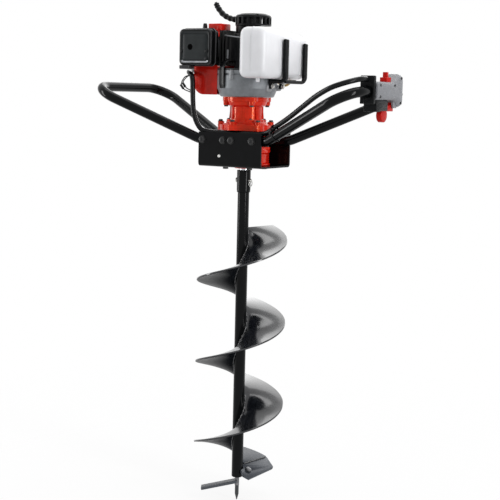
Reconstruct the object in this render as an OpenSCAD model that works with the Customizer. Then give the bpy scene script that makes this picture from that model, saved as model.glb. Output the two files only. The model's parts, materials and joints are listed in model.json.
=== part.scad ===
// Motor driven earth auger with two handle loops, about 1.15 m tall.
// Millimetres, +Z up, origin at the tip of the pilot point on the auger axis.
// The operator's throttle grip is on the +X side and the muffler faces -Y.

/* [Auger bit] */
// Flight outside diameter
bit_d = 203; // [150:1:203]
// Height gained by the flight in one turn
pitch = 188; // [150:1:200]
// Flight plate thickness
flight_t = 4; // [3:0.5:6]
// Bit tube outside diameter
tube_d = 26; // [25:0.5:28]
// Bit length from the tip to the top of its socket
bit_len = 763; // [750:1:800]
// Socket outside diameter
socket_d = 31; // [30:0.5:34]
// Socket length
socket_len = 46; // [40:1:55]
// Pilot point diameter
pilot_d = 9; // [7:0.5:12]
// Pilot point length below the tube
pilot_len = 55; // [50:1:56]

/* [Frame] */
// Frame length along X
frame_l = 162; // [156:1:170]
// Frame width along Y
frame_w = 128; // [127:0.5:134]
// Frame height
frame_h = 76; // [75:0.5:78]
// Frame plate thickness
plate_t = 4; // [3:0.5:4.5]

/* [Handles] */
// Handle tube diameter
handle_d = 22.2; // [20:0.1:22.5]
// Handle tube wall
handle_wall = 2; // [1.5:0.1:3]
// Distance of each grip from the auger axis
grip_x = 328; // [320:1:340]
// Half length of a grip between its corners
grip_half = 145; // [142:1:150]
// Height of the grips above the tube ends
grip_rise = 112; // [106:1:120]
// Corner bend radius
corner_r = 47; // [42:1:49]

/* [Engine] */
// Fan case diameter
fan_case_d = 134; // [132:1:136]
// Fan case height
fan_case_h = 58; // [57:1:60]
// Tank length along Y
tank_l = 190; // [180:1:194]
// Tank width along X
tank_w = 66; // [60:1:68]
// Tank height
tank_h = 110; // [106:1:112]
// Muffler width
muffler_w = 86; // [82:1:88]
// Muffler height
muffler_h = 80; // [76:1:82]
// Starter case diameter
starter_d = 80; // [79:0.5:84]

/* [Throttle] */
// Throttle housing length along the grip
housing_l = 74; // [70:1:76]
// Throttle housing width across the grip
housing_w = 44; // [42:1:50]
// Conduit diameter
conduit_d = 10; // [8:0.5:10]

/* [Fits] */
// Radial running clearance of turning shafts
run_c = 0.05; // [0.02:0.01:0.08]
// Radial clearance of bolts in their holes
bolt_c = 0.2; // [0.1:0.05:0.3]
// Gap between pieces that must not rub
air_c = 0.6; // [0.4:0.1:0.8]

/* [Hidden] */
$fn = 48;
tube_r = tube_d / 2;
handle_r = handle_d / 2;
shaft_r = 9.95;
frame_z = bit_len + 8;
base_z = frame_z + plate_t;
tube_z = frame_z + 59;
tube_y = frame_w / 2 - plate_t - handle_r - 0.05;
left_end = -9.5;
right_end = -5.5;
left_bolts = [-71, -17];
right_bolts = [4, 57];
bolt_r = 4;
leg_x = frame_l / 2 + 5;
// Straight tube runs reach this far into the bends.
lap = 0.5;
grip_z = tube_z + grip_rise;

// Gear train: output axis at the origin, drum axis to its right, idler behind both.
drum_x = 3.5;
m1 = 0.8;
m2 = 1;
pinion_teeth = 14;
idler_teeth = 68;
output_teeth = 50;
a1 = m1 * (pinion_teeth + idler_teeth) / 2;
a2 = m2 * (pinion_teeth + output_teeth) / 2;
idler_x = (a2 * a2 - a1 * a1 + drum_x * drum_x) / (2 * drum_x);
idler_y = sqrt(a2 * a2 - idler_x * idler_x);
to_output = atan2(-idler_y, -idler_x);
to_drum = atan2(-idler_y, drum_x - idler_x);
case_x = 2;
case_r = frame_w / 2 - plate_t - 4;
cover_r = 62.5;
case_top = base_z + 36;
mid_top = base_z + 81;
cover_top = mid_top + 15;
housing_top = cover_top + 54;
fan_top = housing_top + fan_case_h;
fan_r = fan_case_d / 2;
fly_r = fan_r - 9;
lug_x = fan_r + 0.5;
lug_x2 = fan_r - 2.4;

// Engine above the fan case.
deck_z = fan_top + 4;
cyl_z = deck_z + 45;
block_top = cyl_z + 32;
cyl_x0 = -24;
cyl_x1 = -96;
fin_h = 38;
fin_t = 2.5;
crank_r = 6;
starter_z = block_top + 17;
starter_h = 26;
starter_x = 14;
starter_y = 3;
starter_r = starter_d / 2;
reel_r = 27;
rope_r = 2;
rope_y = 22;
rope_z = starter_z + 14;
muf_x = -43;
muf_y = -46;
muf_t = 34;
muf_z = cyl_z - 40;
tank_x = 35;
tank_y = -95;
tank_fall = 4;
tank_z = housing_top + 41;
carb_x = -65;
carb_y = fin_h + 8;

// Throttle unit on the right grip.
house_y = -4;
house_z0 = grip_z - 17;
house_z1 = grip_z + 21;
pivot_y = house_y + 56;
pivot_z = house_z0 - 9;
disc_y = house_y + 17;
disc_z = house_z0 - 31;
disc_r = 15;

// Helpers
function unit(v) = v / norm(v);
function ring(p, t, r, n) = let(a = unit(cross(t, [0.27, 0.53, -0.8])), b = cross(unit(t), a))
    [for (k = [0:n - 1]) p + r * (cos(360 * k / n) * a + sin(360 * k / n) * b)];
function tangent(path, i) = i == 0 ? path[1] - path[0]
    : i == len(path) - 1 ? path[i] - path[i - 1]
    : unit(path[i + 1] - path[i]) + unit(path[i] - path[i - 1]);

// Round strand along a path, with one radius per point.
module strand(path, radii, n = 8) {
    m = len(path);
    rings = [for (i = [0:m - 1]) ring(path[i], tangent(path, i), radii[i], n)];
    points = [for (q = rings) each q];
    walls = [for (i = [0:m - 2], k = [0:n - 1])
        each [[i * n + k, (i + 1) * n + k, i * n + (k + 1) % n],
            [i * n + (k + 1) % n, (i + 1) * n + k, (i + 1) * n + (k + 1) % n]]];
    start = [[for (k = [0:n - 1]) k]];
    finish = [[for (k = [n - 1:-1:0]) (m - 1) * n + k]];
    polyhedron(points = points, faces = concat(walls, start, finish));
}

// Straight round bar between two points.
module bar(p, q, r) {
    d = q - p;
    translate(p)
        rotate([0, acos(d[2] / norm(d)), atan2(d[1], d[0])])
            cylinder(h = norm(d), r = r);
}

// Quarter-like bend at corner v from direction d1 to direction d2.
module bend(v, d1, d2, radius, r) {
    u1 = unit(d1);
    u2 = unit(d2);
    turn = acos(u1 * u2);
    inward = unit(u2 - u1);
    centre = v + inward * radius / cos(turn / 2);
    out = unit(v - u1 * radius * tan(turn / 2) - centre);
    up = cross(out, u1);
    multmatrix([[out[0], u1[0], up[0], centre[0]], [out[1], u1[1], up[1], centre[1]],
        [out[2], u1[2], up[2], centre[2]], [0, 0, 0, 1]])
        rotate_extrude(angle = turn)
            translate([radius, 0])
                circle(r = r);
}

function cut_back(d1, d2, radius) = radius * tan(acos(unit(d1) * unit(d2)) / 2);

// One handle loop in solid bar form, drawn for the +X side.
module loop_bar(end_x, r, extra) {
    p0 = [end_x - extra, -tube_y, tube_z];
    p1 = [leg_x, -tube_y, tube_z];
    p2 = [grip_x, -grip_half, grip_z];
    p3 = [grip_x, grip_half, grip_z];
    p4 = [leg_x, tube_y, tube_z];
    p5 = [end_x - extra, tube_y, tube_z];
    leg = unit(p2 - p1);
    back = unit(p4 - p3);
    side = [0, 1, 0];
    c1 = cut_back([1, 0, 0], leg, 40);
    c2 = cut_back(leg, side, corner_r);
    b1 = c1 - lap;
    b2 = c2 - lap;
    bar(p0, p1 - [b1, 0, 0], r);
    bend(p1, [1, 0, 0], leg, 40, r - 0.03);
    bar(p1 + leg * b1, p2 - leg * b2, r);
    bend(p2, leg, side, corner_r, r - 0.03);
    bar(p2 + side * b2, p3 - side * b2, r);
    bend(p3, side, back, corner_r, r - 0.03);
    bar(p3 + back * b2, p4 - back * b1, r);
    bend(p4, back, [-1, 0, 0], 40, r - 0.03);
    bar(p4 - [b1, 0, 0], p5, r);
}

module loop(end_x, bolts) {
    difference() {
        loop_bar(end_x, handle_r, 0);
        loop_bar(end_x, handle_r - handle_wall, 1);
        for (x = bolts, s = [-1, 1])
            translate([x, s * (tube_y + handle_r), tube_z])
                rotate([s * 90, 0, 0])
                    translate([0, 0, -1])
                        cylinder(h = handle_r, r = bolt_r + bolt_c);
    }
}

// Bolt with a hexagon head, head seat at the origin, shank towards -Z.
module bolt(r, length, head_h) {
    translate([0, 0, -length])
        cylinder(h = length, r = r);
    cylinder(h = head_h, r = r * 1.85, $fn = 6);
}

// Spur gear outline with straight sided teeth and backlash.
module gear_flat(teeth, m, shift) {
    r = m * teeth / 2;
    p = 360 / teeth;
    polygon([for (i = [0:teeth - 1], k = [[-0.27, -1.25], [-0.09, 0.8], [0.09, 0.8], [0.27, -1.25]])
        let(a = shift + p * (i + k[0]), q = r + m * k[1]) [q * cos(a), q * sin(a)]]);
}

// Rectangle with round corners.
module round_flat(x, y, r) {
    translate([r, 0])
        square([x - 2 * r, y]);
    translate([0, r])
        square([x, y - 2 * r]);
    for (i = [r, x - r], j = [r, y - r])
        translate([i, j])
            circle(r = r);
}

// Auger bit
flight_top = bit_len - 130;
flight_turns = 2.994;
flight_angle = 78;
flat_turn = 131;
flat_drop = 56;
end_angle = flight_angle - flight_turns * 360;
join_z = flight_top - (flight_turns - flat_turn / 360) * pitch;
end_z = join_z - flat_drop;
function flight_z(a) = a < flat_turn ? end_z + flat_drop * a / flat_turn
    : join_z + (a - flat_turn) / 360 * pitch;

module auger_tube() {
    color([0.1, 0.1, 0.11])
        difference() {
            union() {
                translate([0, 0, pilot_len])
                    cylinder(h = bit_len - pilot_len, r = tube_r);
                translate([0, 0, bit_len - socket_len])
                    cylinder(h = socket_len, d = socket_d);
            }
            translate([0, 0, pilot_len + 8])
                cylinder(h = bit_len, r = shaft_r + run_c);
            translate([-socket_d, 0, bit_len - 23])
                rotate([0, 90, 0])
                    cylinder(h = 2 * socket_d, r = 4.1);
            translate([0, 0, pilot_len - 1])
                cylinder(h = 10, r = pilot_d / 2 - 1);
        }
}

module auger_flight() {
    steps = 112;
    ri = tube_r + 0.15;
    ro = bit_d / 2;
    points = [for (i = [0:steps])
        let(t = i * flight_turns * 360 / steps, a = end_angle + t, z = flight_z(t))
            each [[ri * cos(a), ri * sin(a), z - flight_t], [ro * cos(a), ro * sin(a), z - flight_t],
                [ro * cos(a), ro * sin(a), z], [ri * cos(a), ri * sin(a), z]]];
    walls = [for (i = [0:steps - 1], k = [0:3])
        let(p = 4 * i + k, q = 4 * i + (k + 1) % 4)
            each [[p, p + 4, q], [q, p + 4, q + 4]]];
    color([0.28, 0.29, 0.31])
        polyhedron(points = points, faces = concat(walls, [[0, 1, 2, 3]],
            [[4 * steps + 3, 4 * steps + 2, 4 * steps + 1, 4 * steps]]));
}

// Places a flat shape in the plane of the cutting blade, which slopes down ahead of the flight's end.
blade_slope = 35;
module on_blade(depth) {
    u = [cos(end_angle), sin(end_angle), 0];
    d = [sin(end_angle) * cos(blade_slope), -cos(end_angle) * cos(blade_slope), -sin(blade_slope)];
    n = cross(d, u);
    o = [0, 0, end_z + 1] + depth * n;
    multmatrix([[u[0], d[0], n[0], o[0]], [u[1], d[1], n[1], o[1]], [u[2], d[2], n[2], o[2]], [0, 0, 0, 1]])
        children();
}

// Flat cutting blade that carries on from the lower end of the flight.
module cutter_blade() {
    reach = bit_d / 2;
    color([0.5, 0.51, 0.53])
        difference() {
            on_blade(-5)
                linear_extrude(5)
                    polygon([[0, 3.7], [reach - 1, 3.7], [reach - 5.5, 34], [reach - 10.5, 38], [0, 46], [-9, 33]]);
            translate([0, 0, pilot_len - 20])
                cylinder(h = 100, r = tube_r + 0.15);
            on_blade(-8)
                translate([17, 23])
                    cylinder(h = 15, r = bolt_r + bolt_c);
        }
}

module side_blade() {
    color([0.4, 0.41, 0.43])
        rotate([0, 0, 211])
            difference() {
                translate([0, -12, pilot_len - 13])
                    rotate([0, 13, 0])
                        cube([84, 24, 6]);
                translate([0, 0, -1])
                    cylinder(h = pilot_len + 1, r = pilot_d / 2 + 0.7);
                translate([-20, -30, pilot_len])
                    cube([120, 60, 20]);
            }
}

module blade_bolts() {
    color([0.55, 0.56, 0.58])
        on_blade(0)
            translate([17, 23])
                bolt(bolt_r, 5, 4);
}

module pilot_point() {
    color([0.45, 0.46, 0.48])
        union() {
            cylinder(h = 14, r1 = 0.8, r2 = pilot_d / 2);
            translate([0, 0, 14])
                cylinder(h = 20, r = pilot_d / 2);
            translate([0, 0, 34])
                cylinder(h = pilot_len - 34, r = pilot_d / 2 + 0.6);
            translate([0, 0, pilot_len])
                cylinder(h = 8, r = pilot_d / 2 - 1);
        }
}

module coupling_pin() {
    color([0.7, 0.7, 0.72])
        translate([-socket_d / 2 - 3, 0, bit_len - 23])
            rotate([0, 90, 0])
                union() {
                    cylinder(h = socket_d + 6, r = 3.9);
                    translate([0, 0, -3])
                        cylinder(h = 3, r = 6.5);
                }
}

module output_shaft() {
    color([0.62, 0.63, 0.65])
        difference() {
            translate([0, 0, bit_len - socket_len + 4])
                cylinder(h = case_top + 18 - bit_len + socket_len - 4, r = shaft_r);
            translate([-socket_d, 0, bit_len - 23])
                rotate([0, 90, 0])
                    cylinder(h = 2 * socket_d, r = 4.1);
        }
}

// Gear train
gear_z = base_z + 15;
module output_gear() {
    color([0.5, 0.5, 0.52])
        translate([0, 0, gear_z])
            linear_extrude(16)
                difference() {
                    gear_flat(output_teeth, m2, to_output + 180);
                    circle(r = shaft_r);
                }
}

module idler_gear() {
    color([0.52, 0.5, 0.46])
        translate([idler_x, idler_y, 0])
            union() {
                translate([0, 0, gear_z])
                    linear_extrude(16)
                        gear_flat(pinion_teeth, m2, to_output + 180 / pinion_teeth);
                translate([0, 0, base_z + 4])
                    cylinder(h = mid_top + 9 - base_z, r = 4);
                translate([0, 0, mid_top + 2])
                    linear_extrude(9)
                        gear_flat(idler_teeth, m1, to_drum);
            }
}

module clutch_drum() {
    color([0.55, 0.54, 0.52])
        translate([drum_x, 0, 0])
            difference() {
                union() {
                    translate([0, 0, mid_top - 9])
                        cylinder(h = 11, r = 4);
                    translate([0, 0, mid_top + 1])
                        linear_extrude(10.5)
                            gear_flat(pinion_teeth, m1, to_drum + 180 + 180 / pinion_teeth);
                    translate([0, 0, mid_top + 11])
                        cylinder(h = cover_top + 1 - mid_top, r = crank_r - run_c);
                    translate([0, 0, cover_top + 11])
                        cylinder(h = 20, r = 31.5);
                }
                translate([0, 0, cover_top + 13.5])
                    cylinder(h = 20, r = 29);
            }
}

module clutch_shoes() {
    color([0.35, 0.33, 0.3])
        translate([drum_x, 0, cover_top + 16])
            for (s = [0, 180])
                rotate([0, 0, s])
                    linear_extrude(13)
                        difference() {
                            circle(r = 28);
                            circle(r = 10);
                            translate([-40, -39])
                                square([80, 40]);
                        }
}

module clutch_spring() {
    color([0.7, 0.7, 0.72])
        translate([drum_x, 0, cover_top + 30.6])
            rotate_extrude()
                translate([18, 0])
                    circle(r = 1.6, $fn = 24);
}

fly_z = housing_top + 12;
module flywheel() {
    color([0.66, 0.67, 0.69])
        translate([drum_x, 0, 0])
            difference() {
                union() {
                    translate([0, 0, cover_top + 15])
                        cylinder(h = fly_z - cover_top - 15, r = 9.95);
                    translate([0, 0, fly_z])
                        cylinder(h = 8, r = fly_r);
                    translate([0, 0, fly_z + 8])
                        cylinder(h = 22, r = 15);
                    for (k = [0:11])
                        rotate([0, 0, 30 * k])
                            translate([34, -1.5, fly_z + 8])
                                cube([fly_r - 35, 3, 22]);
                }
                translate([0, 0, cover_top])
                    cylinder(h = 200, r = crank_r);
            }
}

module crankshaft() {
    color([0.6, 0.6, 0.62])
        translate([drum_x, 0, 0])
            union() {
                translate([0, 0, cover_top + 15])
                    cylinder(h = cyl_z - 6 - cover_top - 15, r = crank_r);
                translate([0, 0, cyl_z - 14])
                    cylinder(h = 8, r = 24.5);
                translate([12, 0, cyl_z - 6])
                    cylinder(h = 12, r = 6);
                translate([0, 0, cyl_z + 6])
                    cylinder(h = 8, r = 24.5);
                translate([0, 0, cyl_z + 14])
                    cylinder(h = starter_z - cyl_z - 14, r = crank_r);
            }
}

// Frame and handles
module frame_channel() {
    color([0.08, 0.08, 0.09])
        difference() {
            translate([-frame_l / 2, -frame_w / 2, frame_z])
                cube([frame_l, frame_w, frame_h]);
            translate([-frame_l, -frame_w / 2 + plate_t, base_z])
                cube([2 * frame_l, frame_w - 2 * plate_t, frame_h]);
            translate([0, 0, frame_z - 1])
                cylinder(h = plate_t + 2, r = 22);
            for (x = concat(left_bolts, right_bolts))
                translate([x, -frame_w, tube_z])
                    rotate([-90, 0, 0])
                        cylinder(h = 2 * frame_w, r = bolt_r + bolt_c);
            for (a = [45:90:315])
                translate([case_x + 44 * cos(a), 44 * sin(a), frame_z - 1])
                    cylinder(h = plate_t + 2, r = bolt_r + bolt_c);
        }
}

module handle_left() {
    color([0.06, 0.06, 0.07])
        mirror([1, 0, 0])
            loop(-left_end, -left_bolts);
}

module handle_right() {
    color([0.06, 0.06, 0.07])
        loop(right_end, right_bolts);
}

module handle_bolts() {
    color([0.3, 0.31, 0.32])
        for (x = concat(left_bolts, right_bolts), s = [-1, 1])
            translate([x, s * frame_w / 2, tube_z])
                rotate([-s * 90, 0, 0])
                    bolt(bolt_r, plate_t + 6, 5.3);
}

module base_bolts() {
    color([0.12, 0.12, 0.13])
        for (a = [45:90:315])
            translate([case_x + 44 * cos(a), 44 * sin(a), frame_z])
                mirror([0, 0, 1])
                    bolt(bolt_r, plate_t + 14, 5.3);
}

// Gearbox
module gear_case() {
    color([0.72, 0.07, 0.05])
        difference() {
            union() {
                translate([case_x, 0, base_z])
                    cylinder(h = case_top - base_z, r = case_r);
                translate([0, 0, base_z - 8])
                    cylinder(h = 9, r = 21.5);
            }
            translate([0, 0, base_z - 9])
                cylinder(h = 20, r = 19);
            translate([0, 0, base_z + 10])
                cylinder(h = 40, r = 27);
            translate([idler_x, idler_y, base_z + 13])
                cylinder(h = 40, r = 9.5);
            translate([idler_x, idler_y, base_z + 3])
                cylinder(h = 20, r = 4 + run_c);
            for (a = [45:90:315])
                translate([case_x + 44 * cos(a), 44 * sin(a), base_z - 1])
                    cylinder(h = 17, r = bolt_r);
            for (a = [20, 160, 200, 340])
                translate([case_x + 49 * cos(a), 49 * sin(a), case_top - 12])
                    cylinder(h = 13, r = 3);
        }
}

module gear_mid() {
    color([0.74, 0.08, 0.05])
        difference() {
            union() {
                translate([case_x, 0, case_top])
                    cylinder(h = 5, r = case_r);
                translate([case_x + 1, 0, case_top])
                    cylinder(h = mid_top - case_top, r = 30);
                translate([idler_x, idler_y, case_top])
                    cylinder(h = mid_top - case_top, r = 5.8);
                translate([case_x, 0, mid_top - 4])
                    cylinder(h = 4, r = cover_r);
            }
            translate([0, 0, case_top - 1])
                cylinder(h = 8, r = shaft_r + air_c);
            translate([0, 0, case_top + 6])
                cylinder(h = 14, r = 16);
            translate([0, 0, case_top - 1])
                cylinder(h = 8, r = 16);
            translate([idler_x, idler_y, case_top - 1])
                cylinder(h = 100, r = 4 + run_c);
            translate([drum_x, 0, mid_top - 10])
                cylinder(h = 11, r = 4 + run_c);
            for (a = [20, 160, 200, 340])
                translate([case_x + 49 * cos(a), 49 * sin(a), case_top - 1])
                    cylinder(h = 7, r = 3 + bolt_c);
            for (a = [150:60:390])
                translate([case_x + 56 * cos(a), 56 * sin(a), mid_top - 5])
                    cylinder(h = 6, r = 3 + bolt_c);
        }
}

module gear_cover() {
    color([0.8, 0.1, 0.06])
        difference() {
            translate([case_x, 0, mid_top])
                cylinder(h = cover_top - mid_top, r = cover_r);
            translate([idler_x, idler_y, mid_top - 1])
                cylinder(h = 13, r = 28.6);
            translate([idler_x, idler_y, mid_top - 1])
                cylinder(h = 14.5, r = 4 + run_c);
            translate([drum_x, 0, mid_top - 1])
                cylinder(h = 13, r = 7);
            translate([drum_x, 0, mid_top])
                cylinder(h = 40, r = crank_r + air_c);
            for (a = [150:60:390])
                translate([case_x + 56 * cos(a), 56 * sin(a), mid_top - 1])
                    cylinder(h = 40, r = 3 + bolt_c);
            for (a = [45:90:315])
                translate([drum_x + 40.7 * cos(a), 40.7 * sin(a), cover_top - 3])
                    cylinder(h = 4, r = 2);
        }
}

module cover_bolts() {
    color([0.55, 0.55, 0.57]) {
        for (a = [150:60:390])
            translate([case_x + 56 * cos(a), 56 * sin(a), cover_top])
                bolt(3, cover_top - mid_top + 4, 4);
        for (a = [20, 160, 200, 340])
            translate([case_x + 49 * cos(a), 49 * sin(a), case_top + 5])
                bolt(3, 16, 4);
    }
}

module bearings() {
    color([0.75, 0.76, 0.78]) {
        for (b = [[0, base_z - 2, 12, 19, shaft_r + run_c], [0, case_top + 6, 12, 16, shaft_r + run_c],
                [drum_x, cover_top, 8, 13, crank_r]])
            translate([b[0], 0, b[1]])
                rotate_extrude()
                    translate([b[4], 0])
                        square([b[3] - b[4], b[2]]);
    }
}

module shaft_seal() {
    color([0.1, 0.1, 0.1])
        translate([0, 0, base_z - 8])
            rotate_extrude()
                translate([shaft_r + run_c, 0])
                    square([19 - shaft_r - run_c, 6]);
}

module clutch_housing() {
    color([0.82, 0.1, 0.06])
        translate([drum_x, 0, 0])
            difference() {
                union() {
                    translate([0, 0, cover_top])
                        cylinder(h = housing_top - cover_top, r = 35.6);
                    translate([0, 0, cover_top])
                        cylinder(h = 5, r = 44.5);
                    translate([0, 0, housing_top - 18])
                        cylinder(h = 18, r = 54);
                }
                translate([0, 0, cover_top - 1])
                    cylinder(h = 9, r = 13);
                translate([0, 0, cover_top + 8])
                    cylinder(h = 60, r = 32.6);
                for (a = [45:90:315])
                    translate([40.7 * cos(a), 40.7 * sin(a), cover_top - 1])
                        cylinder(h = 7, r = 2 + bolt_c);
                for (a = [45:90:315])
                    translate([47 * cos(a), 47 * sin(a), housing_top - 19])
                        cylinder(h = 22, r = 3 + bolt_c);
            }
}

module housing_bolts() {
    color([0.55, 0.55, 0.57])
        translate([drum_x, 0, 0]) {
            for (a = [45:90:315])
                translate([40.7 * cos(a), 40.7 * sin(a), cover_top + 5])
                    bolt(2, 8, 2.5);
            for (a = [45:90:315])
                translate([47 * cos(a), 47 * sin(a), housing_top - 18])
                    mirror([0, 0, 1])
                        bolt(3, 22, 4);
        }
}

// Engine
module fan_case() {
    color([0.5, 0.51, 0.53])
        translate([drum_x, 0, 0])
            difference() {
                union() {
                    translate([0, 0, housing_top])
                        cylinder(h = fan_case_h, r = fan_r);
                    translate([lug_x - 24, -34, housing_top + 2])
                        cube([24, 40, 26]);
                    translate([lug_x2 - 20, 24, housing_top + 2])
                        cube([20, 22, 26]);
                }
                translate([0, 0, housing_top + 4])
                    cylinder(h = fan_case_h, r = fan_r - 4);
                translate([0, 0, housing_top - 1])
                    cylinder(h = 8, r = 22);
                translate([-120, -30, housing_top + 10])
                    cube([90, 60, fan_case_h - 16]);
                for (a = [45:90:315])
                    translate([47 * cos(a), 47 * sin(a), housing_top - 1])
                        cylinder(h = 6, r = 3);
            }
}

module fan_shroud() {
    z0 = housing_top + 4;
    z1 = cyl_z - fin_h;
    color([0.8, 0.08, 0.06])
        difference() {
            translate([-112, 42, z0])
                rotate([90, 0, 0])
                    linear_extrude(84)
                        union() {
                            translate([26, 0])
                                square([94, z1 - z0]);
                            translate([0, 26])
                                square([30, z1 - z0 - 26]);
                            translate([26, 26])
                                circle(r = 26);
                        }
            translate([-109, -39, z0 + 22])
                cube([140, 78, 100]);
            translate([-104, -39, z0 + 11])
                cube([140, 78, 100]);
            translate([-92, -39, z0 + 3])
                cube([140, 78, 100]);
            translate([drum_x, 0, z0 - 1])
                cylinder(h = 200, r = fan_r);
            translate([-30, -60, z0 - 1])
                cube([80, 120, 200]);
        }
}

module crankcase() {
    color([0.42, 0.43, 0.45])
        difference() {
            union() {
                translate([drum_x, 0, fan_top])
                    cylinder(h = 4, r = fan_r);
                translate([drum_x, 0, fan_top])
                    cylinder(h = block_top - fan_top, r = 30.5);
                translate([cyl_x0, -28, cyl_z - 28])
                    cube([drum_x - cyl_x0, 56, 56]);
            }
            translate([drum_x, 0, fan_top - 1])
                cylinder(h = 200, r = crank_r + run_c);
            translate([drum_x, 0, cyl_z - 22])
                cylinder(h = 44, r = 26);
            translate([cyl_x0 - 1, 0, cyl_z])
                rotate([0, 90, 0])
                    cylinder(h = 40, r = 17);
            translate([cyl_x0 - 50, -40, deck_z + 1])
                cube([50, 80, 200]);
        }
}

module engine_cylinder() {
    color([0.6, 0.61, 0.63])
        difference() {
            union() {
                translate([cyl_x1, 0, cyl_z])
                    rotate([0, 90, 0])
                        rotate_extrude()
                            square([24, cyl_x0 - cyl_x1]);
                for (k = [0:8])
                    translate([cyl_x1 + 8 * k, -fin_h, cyl_z - fin_h])
                        cube([fin_t, 2 * fin_h, 2 * fin_h]);
                translate([-84, -fin_h, cyl_z - 18])
                    cube([38, 2 * fin_h, 36]);
                translate([cyl_x0 - 5, -28, cyl_z - 28])
                    cube([5, 56, 56]);
            }
            translate([cyl_x1 + 10, 0, cyl_z])
                rotate([0, 90, 0])
                    rotate_extrude()
                        square([17, 100]);
            translate([cyl_x1 - 1, 0, cyl_z])
                rotate([0, 90, 0])
                    rotate_extrude()
                        square([5, 20]);
            for (s = [0, 180])
                translate([carb_x, 0, cyl_z])
                    rotate([90, 0, s])
                        rotate_extrude()
                            square([9, fin_h + 1]);
        }
}

module cylinder_cover() {
    x0 = cyl_x1 + 18;
    z0 = cyl_z + fin_h;
    color([0.8, 0.08, 0.06])
        difference() {
            translate([x0, -fin_h, z0])
                cube([34, fin_h + 2, 15]);
            translate([x0 + 3, -fin_h + 3, z0 - 1])
                cube([28, fin_h - 4, 13]);
        }
}

module spark_plug() {
    color([0.85, 0.85, 0.84])
        translate([cyl_x1, 0, cyl_z])
            rotate([0, -90, 0])
                union() {
                    translate([0, 0, -10])
                        cylinder(h = 11, r = 5);
                    translate([0, 0, 1])
                        cylinder(h = 9, r = 9.5, $fn = 6);
                    translate([0, 0, 10])
                        cylinder(h = 18, r = 5);
                }
}

module plug_boot() {
    color([0.07, 0.07, 0.08]) {
        difference() {
            translate([cyl_x1 - 12, 0, cyl_z])
                rotate([0, -90, 0])
                    cylinder(h = 20, r = 8);
            translate([cyl_x1 - 11, 0, cyl_z])
                rotate([0, -90, 0])
                    cylinder(h = 17, r = 5);
        }
        strand([[-124, 0, cyl_z - 7.9], [-125, 2, cyl_z - 20], [-126, 12, cyl_z - 34],
            [-122, 34, cyl_z - 40], [-108, 54, cyl_z - 41], [-80, 62, cyl_z - 40], [-50, 64, cyl_z - 38],
            [-26, 60, cyl_z - 36], [-16, 54, cyl_z - 35], [-6.1, 54, cyl_z - 35]],
            [for (i = [0:9]) 3], 8);
    }
}

module ignition_coil() {
    color([0.12, 0.12, 0.13])
        translate([-6, fan_r - 27, deck_z])
            difference() {
                cube([38, 20, 20]);
                translate([9, 10, 8])
                    cube([20, 20, 20]);
            }
}

module muffler() {
    color([0.05, 0.05, 0.055])
        difference() {
            union() {
                translate([muf_x - muffler_w, muf_y, muf_z])
                    rotate([90, 0, 0])
                        linear_extrude(muf_t - 3)
                            round_flat(muffler_w, muffler_h, 8);
                translate([muf_x - muffler_w + 6, muf_y - muf_t + 3, muf_z + 6])
                    rotate([90, 0, 0])
                        linear_extrude(3)
                            round_flat(muffler_w - 12, muffler_h - 12, 5);
                translate([carb_x - 19, muf_y, cyl_z - 18])
                    cube([38, -fin_h - muf_y, 36]);
            }
            translate([muf_x - muffler_w + 2, muf_y - 2, muf_z + 2])
                rotate([90, 0, 0])
                    linear_extrude(muf_t - 7)
                        round_flat(muffler_w - 4, muffler_h - 4, 6);
            translate([carb_x, 0, cyl_z])
                rotate([90, 0, 0])
                    cylinder(h = 60, r = 9);
            translate([muf_x - 57, muf_y - muf_t + 10, muf_z + 38])
                rotate([90, 0, 0])
                    cylinder(h = 20, r = 7);
        }
}

module muffler_bolts() {
    color([0.5, 0.5, 0.52])
        for (d = [[-10, -10], [-10, muffler_h - 72], [-75, muffler_h - 72]])
            translate([muf_x + d[0] - 3, muf_y - muf_t, muf_z + 25 + d[1]])
                rotate([90, 0, 0])
                    cylinder(h = 2.5, r = 4);
}

module intake_spacer() {
    color([0.1, 0.1, 0.1])
        difference() {
            translate([carb_x - 19, fin_h, cyl_z - 18])
                cube([38, 8, 36]);
            translate([carb_x, 0, cyl_z])
                rotate([-90, 0, 0])
                    cylinder(h = 80, r = 9);
        }
}

module carburettor() {
    color([0.6, 0.61, 0.62])
        difference() {
            translate([carb_x - 19, carb_y, cyl_z - 20])
                cube([38, 34, 40]);
            translate([carb_x, 0, cyl_z])
                rotate([-90, 0, 0])
                    cylinder(h = 120, r = 8);
            translate([carb_x, carb_y + 10, cyl_z + 9])
                cylinder(h = 20, r = 3 + run_c);
            translate([carb_x, carb_y + 25, cyl_z + 9])
                cylinder(h = 20, r = 3 + run_c);
        }
}

module throttle_arm() {
    color([0.7, 0.7, 0.72])
        translate([carb_x, carb_y + 10, cyl_z + 10])
            union() {
                cylinder(h = 14, r = 3);
                translate([-4, -4, 11])
                    cube([26, 8, 3]);
            }
}

module choke_lever() {
    color([0.06, 0.06, 0.06])
        translate([carb_x, carb_y + 25, cyl_z + 10])
            union() {
                cylinder(h = 29, r = 3);
                translate([-34, -4, 26])
                    cube([38, 8, 3]);
                translate([-34, -4, 26])
                    cube([5, 8, 10]);
            }
}

module primer_bulb() {
    color([0.75, 0.78, 0.74])
        translate([carb_x, carb_y + 17, cyl_z - 20.05])
            rotate([180, 0, 0])
                union() {
                    cylinder(h = 3, r = 11);
                    translate([0, 0, 3])
                        rotate_extrude()
                            intersection() {
                                circle(r = 9);
                                square(20);
                            }
                }
}

filter_y = carb_y + 34;
module filter_base() {
    color([0.07, 0.07, 0.08])
        difference() {
            translate([carb_x - 31, filter_y, cyl_z - 33])
                cube([62, 5, 66]);
            translate([carb_x, 0, cyl_z])
                rotate([-90, 0, 0])
                    cylinder(h = 120, r = 8);
        }
}

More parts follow.
